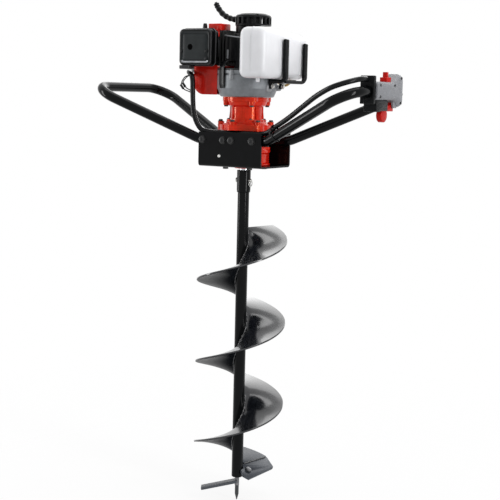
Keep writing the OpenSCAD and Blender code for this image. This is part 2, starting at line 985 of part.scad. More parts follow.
module filter_element() {
    color([0.4, 0.38, 0.34])
        translate([carb_x - 26, filter_y + 5, cyl_z - 28])
            cube([52, 12, 56]);
}

module filter_cover() {
    color([0.06, 0.06, 0.07])
        difference() {
            translate([carb_x - 31, filter_y + 25, cyl_z - 33])
                rotate([90, 0, 0])
                    linear_extrude(20)
                        round_flat(62, 66, 8);
            translate([carb_x - 28, filter_y + 4, cyl_z - 30])
                cube([56, 13.5, 60]);
        }
}

// Room above the tank's top, which falls towards the cap.
module tank_slope(lift) {
    translate([tank_x - 1, tank_y - 1, tank_z + tank_h + lift])
        rotate([-tank_fall, 0, 0])
            cube([tank_w + 2, tank_l + 20, 40]);
}

module fuel_tank() {
    neck_z = tank_z + tank_h - 30;
    color([0.93, 0.94, 0.93])
        difference() {
            union() {
                difference() {
                    translate([tank_x, tank_y, tank_z])
                        linear_extrude(tank_h)
                            round_flat(tank_w, tank_l, 9);
                    translate([drum_x, 0, tank_z - 1])
                        cylinder(h = deck_z - tank_z + 3, r = fan_r + 2);
                    tank_slope(0);
                }
                translate([tank_x + tank_w / 2, tank_y + tank_l, neck_z])
                    rotate([-90, 0, 0])
                        cylinder(h = 9, r = 15);
            }
            difference() {
                translate([tank_x + 2.5, tank_y + 2.5, tank_z + 2.5])
                    linear_extrude(tank_h - 5)
                        round_flat(tank_w - 5, tank_l - 5, 6.5);
                translate([drum_x, 0, tank_z - 1])
                    cylinder(h = deck_z - tank_z + 5.5, r = fan_r + 4.5);
                tank_slope(-2.5);
            }
            translate([tank_x + tank_w / 2, tank_y + tank_l - 10, neck_z])
                rotate([-90, 0, 0])
                    cylinder(h = 30, r = 12);
        }
}

module fuel_cap() {
    neck_z = tank_z + tank_h - 30;
    color([0.06, 0.06, 0.07])
        translate([tank_x + tank_w / 2, tank_y + tank_l + 1, neck_z])
            rotate([-90, 0, 0])
                difference() {
                    cylinder(h = 14, r = 20);
                    translate([0, 0, -1])
                        cylinder(h = 9.05, r = 15 + run_c);
                    for (k = [0:11])
                        rotate([0, 0, 30 * k])
                            translate([21, 0, -1])
                                cylinder(h = 20, r = 2.5);
                }
}

module fuel_hose() {
    color([0.8, 0.72, 0.4])
        strand([[tank_x + 30, 82, tank_z - 0.05], [tank_x + 30, 82, tank_z - 6], [50, 86, tank_z - 13],
            [24, 90, tank_z - 4], [0, 88, tank_z + 12], [-18, 78, tank_z + 32],
            [-36, 66, cyl_z - 13], [-45.9, 66, cyl_z - 13]], [for (i = [0:7]) 3], 8);
}

// Bar guard: a rail under the tank and two uprights outside it.
module tank_guard() {
    gx = tank_x + tank_w + 2;
    gz = tank_z - 10;
    far_y = tank_y + tank_l - 29;
    color([0.05, 0.05, 0.06])
        union() {
            translate([gx, -20, gz])
                cube([9, 16, 96]);
            translate([gx, far_y, gz])
                cube([9, 14, 90]);
            translate([gx, -20, gz])
                cube([9, far_y + 34, 9]);
            for (arm = [[drum_x + lug_x, -20], [drum_x + lug_x2, 28]])
                translate([arm[0], arm[1], gz]) {
                    cube([gx + 1 - arm[0], 14, 9]);
                    translate([0, 0, -12])
                        cube([5, 14, 20]);
                }
        }
}

module starter_case() {
    color([0.06, 0.06, 0.07])
        difference() {
            union() {
                translate([starter_x, starter_y, starter_z])
                    cylinder(h = starter_h, r = starter_r);
                translate([drum_x, 0, block_top])
                    cylinder(h = starter_z - block_top + 1, r = 28);
            }
            translate([drum_x, 0, starter_z + 4])
                difference() {
                    cylinder(h = starter_h - 8, r = 27.8);
                    translate([0, 0, 2])
                        cylinder(h = starter_h, r = 8 - run_c);
                }
            translate([drum_x, 0, block_top - 1])
                cylinder(h = starter_z - block_top + 6, r = 22);
            for (a = [-100, -60, -20, 20, 60, 100])
                translate([starter_x, starter_y, starter_z + 3])
                    rotate([0, 0, a])
                        translate([starter_r - 4, -4, 0])
                            cube([8, 8, starter_h - 8]);
            translate([-60, rope_y, rope_z])
                rotate([0, 90, 0])
                    cylinder(h = 62, r = 4);
        }
}

module starter_reel() {
    color([0.85, 0.83, 0.75])
        translate([drum_x, 0, 0])
            difference() {
                union() {
                    translate([0, 0, rope_z - 5])
                        cylinder(h = 10, r = rope_y - rope_r - 0.5);
                    translate([0, 0, rope_z - 5])
                        cylinder(h = 2, r = reel_r);
                    translate([0, 0, rope_z + 3])
                        cylinder(h = 2, r = reel_r);
                }
                translate([0, 0, rope_z - 7])
                    cylinder(h = 20, r = 8);
            }
}

module rewind_spring() {
    turns = 4;
    color([0.6, 0.6, 0.62])
        translate([drum_x, 0, rope_z + 5.4])
            linear_extrude(2.5)
                polygon(concat([for (a = [0:15:360 * turns]) (9 + a / 120) * [cos(a), sin(a)]],
                    [for (a = [360 * turns:-15:0]) (10 + a / 120) * [cos(a), sin(a)]]));
}

module starter_rope() {
    color([0.8, 0.8, 0.78])
        translate([-26, rope_y, rope_z])
            rotate([0, 90, 0])
                cylinder(h = 26 + drum_x, r = rope_r);
}

module pull_handle() {
    hx = -26.2;
    y = rope_y;
    z = rope_z;
    path = [[hx, y, z + 0.5], [hx - 4, y, z + 1], [hx - 11, y, z + 1.5], [hx - 18, y, z + 2],
        [hx - 25, y, z + 3], [hx - 32, y, z + 4.5], [hx - 39, y, z + 7], [hx - 46, y, z + 10.5],
        [hx - 53, y, z + 15], [hx - 59, y, z + 20.5], [hx - 64.5, y, z + 27], [hx - 69, y, z + 34],
        [hx - 72.5, y, z + 41]];
    color([0.05, 0.05, 0.06])
        strand(path, [3.5, 6.6, 5.6, 6.8, 5.8, 7, 6, 7, 6, 7, 6, 6.6, 5], 10);
}

// Throttle unit
module grip_bore() {
    translate([grip_x, -200, grip_z])
        rotate([-90, 0, 0])
            cylinder(h = 400, r = handle_r);
}

module throttle_clamp() {
    ring_z = house_z0 - 8;
    color([0.07, 0.07, 0.08])
        difference() {
            union() {
                translate([grip_x - 16, house_y - 56, ring_z])
                    cube([32, 9, grip_z + 33 - ring_z]);
                translate([grip_x - 8, house_y - 50, ring_z])
                    cube([16, 20, 8]);
                translate([grip_x - 15, house_y - 40, house_z0 - 24])
                    cube([30, 20, 24]);
                for (x = [-15, 8.4])
                    translate([grip_x + x, house_y - 21, house_z0 - 22])
                        cube([6.6, 36, 22]);
            }
            grip_bore();
        }
}

module throttle_housing() {
    end_y = house_y + housing_l;
    color([0.33, 0.34, 0.36])
        difference() {
            union() {
                translate([grip_x - housing_w / 2, house_y - 46.9, house_z1])
                    rotate([-90, 0, 0])
                        linear_extrude(housing_l + 46.9)
                            round_flat(housing_w, house_z1 - house_z0, 10);
                translate([grip_x - housing_w / 2, end_y - 10, house_z1 + 18])
                    rotate([-90, 0, 0])
                        linear_extrude(10)
                            round_flat(housing_w, house_z1 - house_z0 + 32, 14);
                for (x = [-12, 6.5])
                    translate([grip_x + x, pivot_y - 8, pivot_z - 7])
                        cube([5.5, 16, house_z0 - pivot_z + 8]);
            }
            grip_bore();
            translate([grip_x - 20, pivot_y, pivot_z])
                rotate([0, 90, 0])
                    cylinder(h = 40, r = 2.5 + run_c);
            translate([grip_x - 9, house_y + 16, house_z1 - 8])
                cube([18, 28, 10]);
            translate([grip_x - 20, house_y + 30, house_z1 - 3])
                rotate([0, 90, 0])
                    cylinder(h = 40, r = 1.5 + run_c);
        }
}

module stop_switch() {
    color([0.85, 0.06, 0.05])
        union() {
            translate([grip_x - 8, house_y + 19, house_z1 - 3])
                cube([16, 22, 13]);
            translate([grip_x - 5, house_y + 26, house_z1 + 9])
                cube([10, 8, 12]);
            translate([grip_x - 14, house_y + 30, house_z1 - 3])
                rotate([0, 90, 0])
                    cylinder(h = 28, r = 1.5);
        }
}

module throttle_trigger() {
    color([0.85, 0.06, 0.05])
        union() {
            translate([grip_x - 11.5, pivot_y, pivot_z])
                rotate([0, 90, 0])
                    cylinder(h = 23, r = 2.5);
            translate([grip_x - 6, pivot_y - 5, pivot_z - 5])
                cube([12, 10, 10]);
            translate([grip_x - 6, disc_y + 8, pivot_z - 14])
                cube([12, pivot_y - disc_y - 4, 13]);
            translate([grip_x - 6, disc_y, disc_z])
                rotate([0, 90, 0])
                    cylinder(h = 12, r = disc_r);
        }
}

leg_u = unit([grip_x - leg_x, tube_y - grip_half, grip_rise]);
leg_n = unit([-leg_u[0] * leg_u[2], -leg_u[1] * leg_u[2], 1 - leg_u[2] * leg_u[2]]);
lay = handle_r + conduit_d / 2 + 0.1;
module throttle_conduit() {
    q = [leg_x, -tube_y, tube_z];
    path = [[-75, 66, cyl_z - 25], [-96, 66, cyl_z - 36], [-118, 58, cyl_z - 46], [-130, 40, cyl_z - 48],
        [-133, 10, cyl_z - 48], [-131, -20, cyl_z - 50], [-122, -46, cyl_z - 54], [-106, -60, cyl_z - 60],
        [-102, -61, cyl_z - 72], [-101, -61, cyl_z - 92], [-100, -61, cyl_z - 116], [-98, -60, cyl_z - 142],
        [-93, -56, cyl_z - 164], [-83, -51, cyl_z - 180], [-68, -tube_y, tube_z + lay + 1.5],
        [-48, -tube_y, tube_z + lay], [-20, -tube_y, tube_z + lay], [10, -tube_y, tube_z + lay],
        [40, -tube_y, tube_z + lay], [leg_x - 14, -tube_y, tube_z + lay],
        q + leg_u * 12 + leg_n * (lay + 1.5), q + leg_u * 40 + leg_n * (lay + 2.5),
        q + leg_u * 70 + leg_n * (lay + 3), q + leg_u * 100 + leg_n * (lay + 4.5),
        q + leg_u * 145 + leg_n * (lay + 8.5), q + leg_u * 190 + leg_n * (lay + 12),
        [grip_x - 53, -121, grip_z + 5.5], [grip_x - 28, -119, grip_z + 14.5], [grip_x - 12, -107, grip_z + 20.5],
        [grip_x - 3, -90, grip_z + 24.5], [grip_x, -74, grip_z + 25.5], [grip_x, house_y - 56.1, grip_z + 25.5]];
    color([0.05, 0.05, 0.06])
        strand(path, [for (i = path) conduit_d / 2], 8);
}

auger_tube();
auger_flight();
cutter_blade();
side_blade();
blade_bolts();
pilot_point();
coupling_pin();
output_shaft();
output_gear();
idler_gear();
clutch_drum();
clutch_shoes();
clutch_spring();
flywheel();
crankshaft();
frame_channel();
handle_left();
handle_right();
handle_bolts();
base_bolts();
gear_case();
gear_mid();
gear_cover();
cover_bolts();
bearings();
shaft_seal();
clutch_housing();
housing_bolts();
fan_case();
fan_shroud();
crankcase();
engine_cylinder();
cylinder_cover();
spark_plug();
plug_boot();
ignition_coil();
muffler();
muffler_bolts();
intake_spacer();
carburettor();
throttle_arm();
choke_lever();
primer_bulb();
filter_base();
filter_element();
filter_cover();
fuel_tank();
fuel_cap();
fuel_hose();
tank_guard();
starter_case();
starter_reel();
rewind_spring();
starter_rope();
pull_handle();
throttle_clamp();
throttle_housing();
stop_switch();
throttle_trigger();
throttle_conduit();
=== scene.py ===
import json
from math import acos, cos, pi, radians, sin, tan
import bpy
import bmesh
from mathutils import Matrix, Vector

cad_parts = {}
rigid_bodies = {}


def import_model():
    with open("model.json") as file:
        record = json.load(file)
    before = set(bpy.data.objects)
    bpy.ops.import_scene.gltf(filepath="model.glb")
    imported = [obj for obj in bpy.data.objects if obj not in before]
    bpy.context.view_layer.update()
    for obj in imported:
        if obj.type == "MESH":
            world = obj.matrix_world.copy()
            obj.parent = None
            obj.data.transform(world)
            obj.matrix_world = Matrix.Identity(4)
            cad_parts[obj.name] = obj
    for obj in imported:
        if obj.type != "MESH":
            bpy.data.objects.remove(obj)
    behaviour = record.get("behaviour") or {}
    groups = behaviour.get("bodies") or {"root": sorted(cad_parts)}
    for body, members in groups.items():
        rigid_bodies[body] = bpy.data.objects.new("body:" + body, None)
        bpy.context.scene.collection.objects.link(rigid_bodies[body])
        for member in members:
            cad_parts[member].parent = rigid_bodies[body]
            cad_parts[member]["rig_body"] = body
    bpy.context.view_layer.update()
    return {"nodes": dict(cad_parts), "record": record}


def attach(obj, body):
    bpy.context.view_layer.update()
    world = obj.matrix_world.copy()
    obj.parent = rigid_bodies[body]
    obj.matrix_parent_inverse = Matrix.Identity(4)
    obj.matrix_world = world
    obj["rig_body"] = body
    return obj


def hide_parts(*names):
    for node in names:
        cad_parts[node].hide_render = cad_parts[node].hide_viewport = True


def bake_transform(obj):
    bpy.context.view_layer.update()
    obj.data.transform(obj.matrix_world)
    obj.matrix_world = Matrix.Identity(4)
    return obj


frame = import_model()
nodes = frame["nodes"]
scene = bpy.context.scene

# Sizes of the part in millimetres, as in its source. The auger turns about the Z axis.
BIT_R = 101.5
BIT_LEN = 763
PITCH = 188
PILOT = 55
FRAME_Z = 771
FRAME_TOP = 847
HALF_L = 81
HALF_W = 64
TUBE_Z = 830
TUBE_Y = 48.85
BAR_R = 11.1
LEG_X = 86
GRIP_X = 328
GRIP_HALF = 145
GRIP_Z = 942
CORNER_R = 47

# Vertical axes of the gear case and of the engine, the levels where the castings meet, and bolt angles
CASE_X = 2
AXIS_X = 3.5
CASE_FOOT = 775
CASE_TOP = 811
MID_TOP = 852
COVER_FOOT = 856
COVER_TOP = 871
CLUTCH_TOP = 925
FAN_TOP = 983
CYL_Z = 1032
CORNERS = (45, 135, 225, 315)
COVER_LOBES = (30, 104, 150, 210, 270, 330)
IDLER_LOBE = 104
IDLER = (-5.66, 31.5, 0)

MILLIMETRE = 0.001
UP = Vector((0, 0, 1))
DOWN = -UP
LEFT = (-1, 0, 0)
FRONT = (0, -1, 0)
BACK = (0, 1, 0)


def add_object(name, data):
    item = bpy.data.objects.new(name, data)
    scene.collection.objects.link(item)
    return item


# Camera at the photograph's place, in metres and degrees
CAMERA_TURN = 31.75
CAMERA_TILT = 7.13
CAMERA_ROLL = 1.3
CAMERA_AWAY = 2.772
CAMERA_HEIGHT = 0.9294
CAMERA_LENS = 89.05
CAMERA_SHIFT = (0.0156, -0.0004)


def make_camera():
    data = bpy.data.cameras.new("camera")
    data.sensor_width = 36
    data.lens = CAMERA_LENS
    data.shift_x, data.shift_y = CAMERA_SHIFT
    data.dof.use_dof = False
    data.clip_end = 100
    camera = add_object("camera", data)
    look = turned("X", 90 - CAMERA_TILT) @ turned("Z", CAMERA_ROLL)
    camera.matrix_world = turned("Z", CAMERA_TURN) @ at(0, -CAMERA_AWAY, CAMERA_HEIGHT) @ look
    scene.camera = camera


# Materials
WEAR_FROM = 0.53
WEAR_TO = 0.62
SMOOTHEST = 0.02
ROUGH_SPREAD = 0.08
GLOW_DEPTH = 0.012
CLOUD_FROM = 0.3
CLOUD_TO = 0.7
BUMP_DEPTH = 0.001

# Places of the colour sockets on a Mix node
MIX_FIRST = 6
MIX_SECOND = 7
MIX_RESULT = 2


def add_node(tree, kind, **values):
    """New shader node with the given input values."""
    node = tree.nodes.new("ShaderNode" + kind)
    for key, value in values.items():
        node.inputs[key].default_value = value
    return node


def ramp_between(tree, low, high, colors=((0, 0, 0), (1, 1, 1))):
    """Colour ramp with its two stops at low and high."""
    ramp = add_node(tree, "ValToRGB")
    for stop, position, color in zip(ramp.color_ramp.elements, (low, high), colors):
        stop.position = position
        stop.color = (*color, 1)
    return ramp


def worn_edges(tree, tint, wear):
    """Colour that turns to the wear colour along outward edges."""
    shape = add_node(tree, "NewGeometry")
    edge = ramp_between(tree, WEAR_FROM, WEAR_TO)
    tree.links.new(shape.outputs["Pointiness"], edge.inputs["Fac"])
    mix = add_node(tree, "Mix")
    mix.data_type = "RGBA"
    tree.links.new(edge.outputs["Color"], mix.inputs["Factor"])
    tree.links.new(tint, mix.inputs[MIX_FIRST])
    mix.inputs[MIX_SECOND].default_value = (*wear, 1)
    return mix.outputs[MIX_RESULT]


def shader(name, color, rough, metal=0.0, spread=0.12, grain=60, relief=(0.02, 900), coat=0.0,
           coat_rough=0.05, level=0.5, glint=None, wear=None, sss=0.0, stretch=(1, 1, 1)):
    """Surface with clouded colour and roughness, and worn edges where asked. Relief is strength and scale."""
    material = bpy.data.materials.new(name)
    material.use_nodes = True
    tree = material.node_tree
    link = tree.links.new
    surface = tree.nodes["Principled BSDF"].inputs
    values = {"Metallic": metal, "Specular IOR Level": level, "Coat Weight": coat}
    values["Coat Roughness"] = coat_rough
    if glint:
        values["Specular Tint"] = (*glint, 1)
    if sss:
        values["Subsurface Weight"] = sss
        values["Subsurface Radius"] = (1, 1, 1)
        values["Subsurface Scale"] = GLOW_DEPTH
    for key, value in values.items():
        surface[key].default_value = value
    where = add_node(tree, "TexCoord")
    mapping = add_node(tree, "Mapping", Scale=stretch)
    link(where.outputs["Object"], mapping.inputs["Vector"])
    cloud = add_node(tree, "TexNoise", Scale=grain, Detail=5, Roughness=0.6)
    link(mapping.outputs["Vector"], cloud.inputs["Vector"])
    darker = [c * (1 - spread) for c in color]
    paler = [min(1, c * (1 + spread)) for c in color]
    clouded = ramp_between(tree, CLOUD_FROM, CLOUD_TO, (darker, paler))
    link(cloud.outputs["Fac"], clouded.inputs["Fac"])
    tint = clouded.outputs["Color"]
    if wear:
        tint = worn_edges(tree, tint, wear)
    link(tint, surface["Base Color"])
    limits = {"To Min": max(SMOOTHEST, rough - ROUGH_SPREAD), "To Max": rough + ROUGH_SPREAD}
    shine = add_node(tree, "MapRange", **limits)
    link(cloud.outputs["Fac"], shine.inputs["Value"])
    link(shine.outputs["Result"], surface["Roughness"])
    strength, scale = relief
    fine = add_node(tree, "TexNoise", Scale=scale, Detail=3)
    link(mapping.outputs["Vector"], fine.inputs["Vector"])
    bump = add_node(tree, "Bump", Strength=strength, Distance=BUMP_DEPTH)
    link(fine.outputs["Fac"], bump.inputs["Height"])
    link(bump.outputs["Normal"], surface["Normal"])
    return material


MATERIALS = {
    "black_paint": shader(
        "black_enamel", (0.0022, 0.0026, 0.0031), 0.13, level=0.11, spread=0.3, relief=(0.05, 260)),
    "flight_paint": shader(
        "flight_enamel", (0.006, 0.007, 0.0095), 0.18, level=0.6, spread=0.35, coat=0.3, coat_rough=0.1,
        relief=(0.05, 160)),
    # The flight's own paint again, darker and duller: painted shade for the flight's underside.
    "flight_painted_shade": shader(
        "underside_painted_shade", (0.005, 0.0058, 0.0075), 0.34, level=0.07, spread=0.35, relief=(0.06, 160)),
    "blade_paint": shader(
        "blade_coating", (0.026, 0.031, 0.041), 0.34, metal=0.2, level=0.25, relief=(0.2, 500),
        wear=(0.13, 0.14, 0.155)),
    "worn_steel": shader(
        "point_steel", (0.05, 0.053, 0.056), 0.35, metal=0.6, relief=(0.15, 900), wear=(0.3, 0.3, 0.31)),
    "bolt_steel": shader("plated_steel", (0.5, 0.5, 0.48), 0.28, metal=1.0, grain=400, relief=(0.08, 1500)),
    "dark_bolt": shader(
        "blackened_bolt", (0.006, 0.0068, 0.008), 0.26, level=0.2, grain=300, relief=(0.1, 900),
        wear=(0.05, 0.05, 0.05)),
    "bare_steel": shader(
        "machined_steel", (0.55, 0.56, 0.58), 0.25, metal=1.0, grain=200, relief=(0.05, 900),
        stretch=(1, 1, 12)),
    "friction_metal": shader("sintered_shoe", (0.2, 0.18, 0.16), 0.6, metal=0.7, relief=(0.5, 900)),
    "cast_metal": shader(
        "cast_alloy", (0.185, 0.197, 0.21), 0.36, metal=0.3, level=0.35, grain=120, relief=(0.35, 1400),
        wear=(0.5, 0.5, 0.51)),
    "dark_cast": shader(
        "black_casting", (0.008, 0.0085, 0.0095), 0.45, level=0.2, grain=120, relief=(0.35, 1400),
        wear=(0.04, 0.04, 0.04)),
    "red_paint": shader(
        "red_enamel", (0.66, 0.014, 0.006), 0.15, level=0.6, spread=0.14, grain=90, coat=0.12,
        glint=(1.0, 0.3, 0.1), relief=(0.08, 900)),
    "red_plastic": shader(
        "red_moulding", (0.63, 0.015, 0.009), 0.2, level=0.3, grain=70, coat=0.2, coat_rough=0.08,
        glint=(1.0, 0.3, 0.2), relief=(0.08, 1800)),
    "grip_red": shader("grip_moulding", (0.46, 0.009, 0.006), 0.3, level=0.1, grain=90, relief=(0.1, 1800)),
    "black_plastic": shader(
        "black_moulding", (0.0042, 0.0047, 0.0055), 0.3, level=0.1, spread=0.3, grain=200,
        relief=(0.25, 2600)),
    # Its pale edges are partly edge wear and partly a painted highlight along the rims.
    "muffler_black": shader(
        "muffler_paint", (0.0025, 0.0029, 0.0034), 0.2, level=0.12, spread=0.3, grain=45,
        relief=(0.15, 1200), wear=(0.2, 0.2, 0.21)),
    "muffler_panel": shader(
        "muffler_pressing", (0.0095, 0.0125, 0.0135), 0.4, level=0.17, spread=0.3, grain=45,
        relief=(0.15, 1200)),
    # Pale metal that paints a highlight on the upward slopes of the muffler's lower groove.
    "muffler_painted_highlight": shader(
        "painted_rim_highlight", (0.30, 0.31, 0.33), 0.25, metal=0.8, spread=0.3, relief=(0.1, 1200)),
    "tank_plastic": shader(
        "tank_moulding", (0.82, 0.825, 0.85), 0.34, spread=0.04, grain=18, relief=(0.05, 700), sss=0.25),
    "grey_plastic": shader("grey_moulding", (0.19, 0.195, 0.21), 0.42, grain=150, relief=(0.3, 2400)),
    "light_plastic": shader("reel_moulding", (0.7, 0.68, 0.6), 0.4, relief=(0.1, 900)),
    "clear_rubber": shader("clear_rubber", (0.62, 0.5, 0.2), 0.2, level=0.6, relief=(0.05, 900), sss=0.3),
    "black_rubber": shader(
        "black_rubber", (0.004, 0.0045, 0.0052), 0.22, level=0.15, spread=0.3, grain=160,
        relief=(0.12, 1500)),
    "plug_ceramic": shader("glazed_ceramic", (0.82, 0.81, 0.78), 0.12, coat=0.5),
    "filter_foam": shader("filter_foam", (0.2, 0.19, 0.17), 0.95, spread=0.5, grain=700, relief=(1.0, 2200)),
    "rope_fibre": shader("rope_fibre", (0.62, 0.62, 0.6), 0.85, spread=0.3, grain=900, relief=(0.8, 1800)),
    # Near-black for the outlet disc, which paints the shade of the hole.
    "painted_hole_shade": shader("painted_outlet_shade", (0.0012, 0.0012, 0.0012), 0.9, level=0.02, relief=(0.4, 900)),
}

# Slots of the part's record for pieces whose material only the scene has
SLOTS = {
    "flight_paint": "worn_steel", "blade_paint": "worn_steel", "dark_bolt": "bolt_steel",
    "grip_red": "red_plastic", "dark_cast": "muffler_black", "muffler_panel": "muffler_black",
    "painted_hole_shade": "muffler_black",
}


# Mesh helpers, all in millimetres
EDGE_ANGLE = 32
NEARLY_STRAIGHT = 1.56
LONGEST_CUT = 0.49
WELD_DISTANCE = 0.0001
CAD_WELD_DISTANCE = 0.002
FLAT_ANGLE = 0.6


def mesh_of(bm, name):
    """Mesh data from a bmesh, which is freed."""
    mesh = bpy.data.meshes.new(name)
    bm.to_mesh(mesh)
    bm.free()
    return mesh


def creases(bm, degrees):
    """Edges between two faces that meet at more than the angle."""
    limit = radians(degrees)
    return [e for e in bm.edges if len(e.link_faces) == 2 and e.calc_face_angle(0) > limit]


def piece(name, parts, material, node=None, body="chassis", angle=EDGE_ANGLE, slot=None, more=()):
    """One object from meshes, with edges past the angle kept sharp. More names its further materials."""
    slot = slot or SLOTS.get(material, material)
    bm = bmesh.new()
    for part in parts if isinstance(parts, (list, tuple)) else [parts]:
        bmesh.ops.recalc_face_normals(part, faces=part.faces)
        mesh = mesh_of(part, "part")
        bm.from_mesh(mesh)
        bpy.data.meshes.remove(mesh)
    for face in bm.faces:
        face.smooth = True
    for edge in bm.edges:
        edge.smooth = True
    for edge in creases(bm, angle):
        edge.smooth = False
    mesh = mesh_of(bm, name)
    mesh.transform(Matrix.Scale(MILLIMETRE, 4))
    for look in (material, *more):
        mesh.materials.append(MATERIALS[look])
    ob = add_object(name, mesh)
    if body:
        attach(ob, body)
    if node:
        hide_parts(node)
    return ob


def soften(bm, width, segments=2, angle=30, clamp=True):
    """Bevel on every crease. Without the clamp, loops slide along their edges instead."""
    edges = creases(bm, angle)
    if edges:
        bmesh.ops.bevel(
            bm, geom=edges, offset=width, segments=segments, profile=0.5, affect="EDGES",
            clamp_overlap=clamp, loop_slide=not clamp)
    return bm


def moved(bm, matrix):
    bm.transform(matrix)
    return bm


def at(x, y, z):
    return Matrix.Translation((x, y, z))


def turned(axis, degrees):
    return Matrix.Rotation(radians(degrees), 4, axis)


def along(place, direction):
    """Matrix that puts the origin at the place and Z in the direction."""
    return at(*place) @ Vector(direction).to_track_quat("Z", "Y").to_matrix().to_4x4()


def polar(radius, degrees, centre_x=0.0):
    """x and y at an angle round a vertical axis."""
    angle = radians(degrees)
    return centre_x + radius * cos(angle), radius * sin(angle)


def circle(count, wide=1.0, high=1.0):
    angles = [2 * pi * k / count for k in range(count)]
    return [(wide * cos(a), high * sin(a)) for a in angles]


def rounded(points, radius, steps=5, closed=True):
    """Polyline with round corners, in two or three dimensions."""
    points = [Vector(p) for p in points]
    count = len(points)
    radii = radius if isinstance(radius, (list, tuple)) else [radius] * count
    out = []
    for i, corner in enumerate(points):
        if not closed and i in (0, count - 1) or radii[i] <= 0:
            out.append(corner)
            continue
        before = points[i - 1] - corner
        after = points[(i + 1) % count] - corner
        longest = min(before.length, after.length) * LONGEST_CUT
        before.normalize()
        after.normalize()
        half = acos(max(-1, min(1, before.dot(after)))) / 2
        if half > NEARLY_STRAIGHT:
            out.append(corner)
            continue
        cut_back = min(radii[i] / tan(half), longest)
        reach = cut_back * tan(half) / sin(half)
        centre = corner + (before + after).normalized() * reach
        start = corner + before * cut_back - centre
        end = corner + after * cut_back - centre
        total = start.angle(end)
        for k in range(steps + 1):
            t = k / steps
            turn = start * sin((1 - t) * total) + end * sin(t * total)
            out.append(centre + turn / sin(total))
    return out


def spline(points, steps=8):
    """Smooth curve through points."""
    points = [Vector(p) for p in points]
    points = [points[0] * 2 - points[1]] + points + [points[-1] * 2 - points[-2]]
    out = []
    for i in range(1, len(points) - 2):
        a, b, c, d = points[i - 1:i + 3]
        for k in range(steps):
            t = k / steps
            out.append(0.5 * (2 * b + (c - a) * t + (2 * a - 5 * b + 4 * c - d) * t * t
                              + (3 * b - a - 3 * c + d) * t ** 3))
    return out + [points[-2]]


def below_axis(route):
    """Points of a route whose heights are drops below the cylinder's axis."""
    return [(x, y, CYL_Z - drop) for x, y, drop in route]


def skin(rings, closed=False):
    """Mesh over rings of equal length. A row of rings that isn't closed gets end caps."""
    bm = bmesh.new()
    rows = [[bm.verts.new(p) for p in ring] for ring in rings]
    count = len(rows[0])
    for i in range(len(rows) - (0 if closed else 1)):
        a, b = rows[i], rows[(i + 1) % len(rows)]
        for k in range(count):
            bm.faces.new((a[k], a[(k + 1) % count], b[(k + 1) % count], b[k]))
    if not closed:
        bm.faces.new(rows[0])
        bm.faces.new(rows[-1])
    return bm


def sweep(path, radius, sides=20, section=None, side=None):
    """Tube along a path. A section of (u, v) points takes the place of the circle, u along side."""
    path = [Vector(p) for p in path]
    last = len(path) - 1
    radii = radius if isinstance(radius, (list, tuple)) else [radius] * len(path)
    section = section or circle(sides)
    rings = []
    u = None
    for i, place in enumerate(path):
        ahead = (path[min(i + 1, last)] - path[max(i - 1, 0)]).normalized()
        if side:
            u = Vector(side)
        elif u is None:
            u = UP if abs(ahead.z) < 0.9 else Vector((1, 0, 0))
        u = (u - ahead * u.dot(ahead)).normalized()
        v = ahead.cross(u)
        rings.append([place + u * (a * radii[i]) + v * (b * radii[i]) for a, b in section])
    return skin(rings)


def lathe(profile, sides=56, centre=(0, 0, 0), closed=False):
    """Turned form about Z from (radius, height) points."""
    rings = [[(r * x, r * y, z) for x, y in circle(sides)] for r, z in profile]
    bm = skin(rings, closed=closed)
    bmesh.ops.remove_doubles(bm, verts=bm.verts, dist=WELD_DISTANCE)
    return moved(bm, at(*centre))


def disc(radius, first, last):
    """Profile of a plain cylinder between two levels."""
    return [(0, first), (radius, first), (radius, last), (0, last)]


def turned_form(profile, radius=1.0, **settings):
    """Turned form whose profile has round corners."""
    return lathe([(p.x, p.y) for p in rounded(profile, radius, 3, closed=False)], **settings)


def prism(outline, foot, top):
    return skin([[(x, y, z) for x, y in outline] for z in (foot, top)])


def rect(x0, y0, x1, y1, radius, steps=5):
    return rounded([(x0, y0), (x1, y0), (x1, y1), (x0, y1)], radius, steps)


def xz_rect(y, x0, z0, x1, z1, radius, steps=5):
    """Round-cornered rectangle that stands at one y."""
    return [(p.x, y, p.y) for p in rect(x0, z0, x1, z1, radius, steps)]


def strip(half_thick, half_wide, radius, steps):
    """Section of a flat bar."""
    return [(p.x, p.y) for p in rect(-half_thick, -half_wide, half_thick, half_wide, radius, steps)]


def block(low, high, radius=1.5, segments=3):
    bm = bmesh.new()
    bmesh.ops.create_cube(bm, size=1)
    for vertex in bm.verts:
        vertex.co = [a + (c + 0.5) * (b - a) for a, b, c in zip(low, high, vertex.co)]
    return soften(bm, radius, segments)


def lobed(base, lobes, height, width, steps=144):
    """Round outline with raised lobes at the given angles."""
    out = []
    for k in range(steps):
        angle = 360 * k / steps
        radius = base
        for lobe in lobes:
            off = abs((angle - lobe + 180) % 360 - 180)
            if off < width:
                fall = min(1, max(0, off / width * 1.5 - 0.5))
                radius = max(radius, base + height * 0.5 * (1 + cos(pi * fall)))
        out.append(polar(radius, angle))
    return out


def cut(target, tool):
    """Target mesh minus tool mesh."""
    pair = []
    for bm in (target, tool):
        bmesh.ops.recalc_face_normals(bm, faces=bm.faces)
        pair.append(add_object("cut", mesh_of(bm, "cut")))
    change = pair[0].modifiers.new("cut", "BOOLEAN")
    change.object = pair[1]
    change.solver = "EXACT"
    graph = bpy.context.evaluated_depsgraph_get()
    mesh = bpy.data.meshes.new_from_object(pair[0].evaluated_get(graph))
    out = bmesh.new()
    out.from_mesh(mesh)
    for item in pair:
        bpy.data.objects.remove(item)
    bpy.data.meshes.remove(mesh)
    return out


def joined(groups):
    """One list from several."""
    return [part for group in groups for part in group]


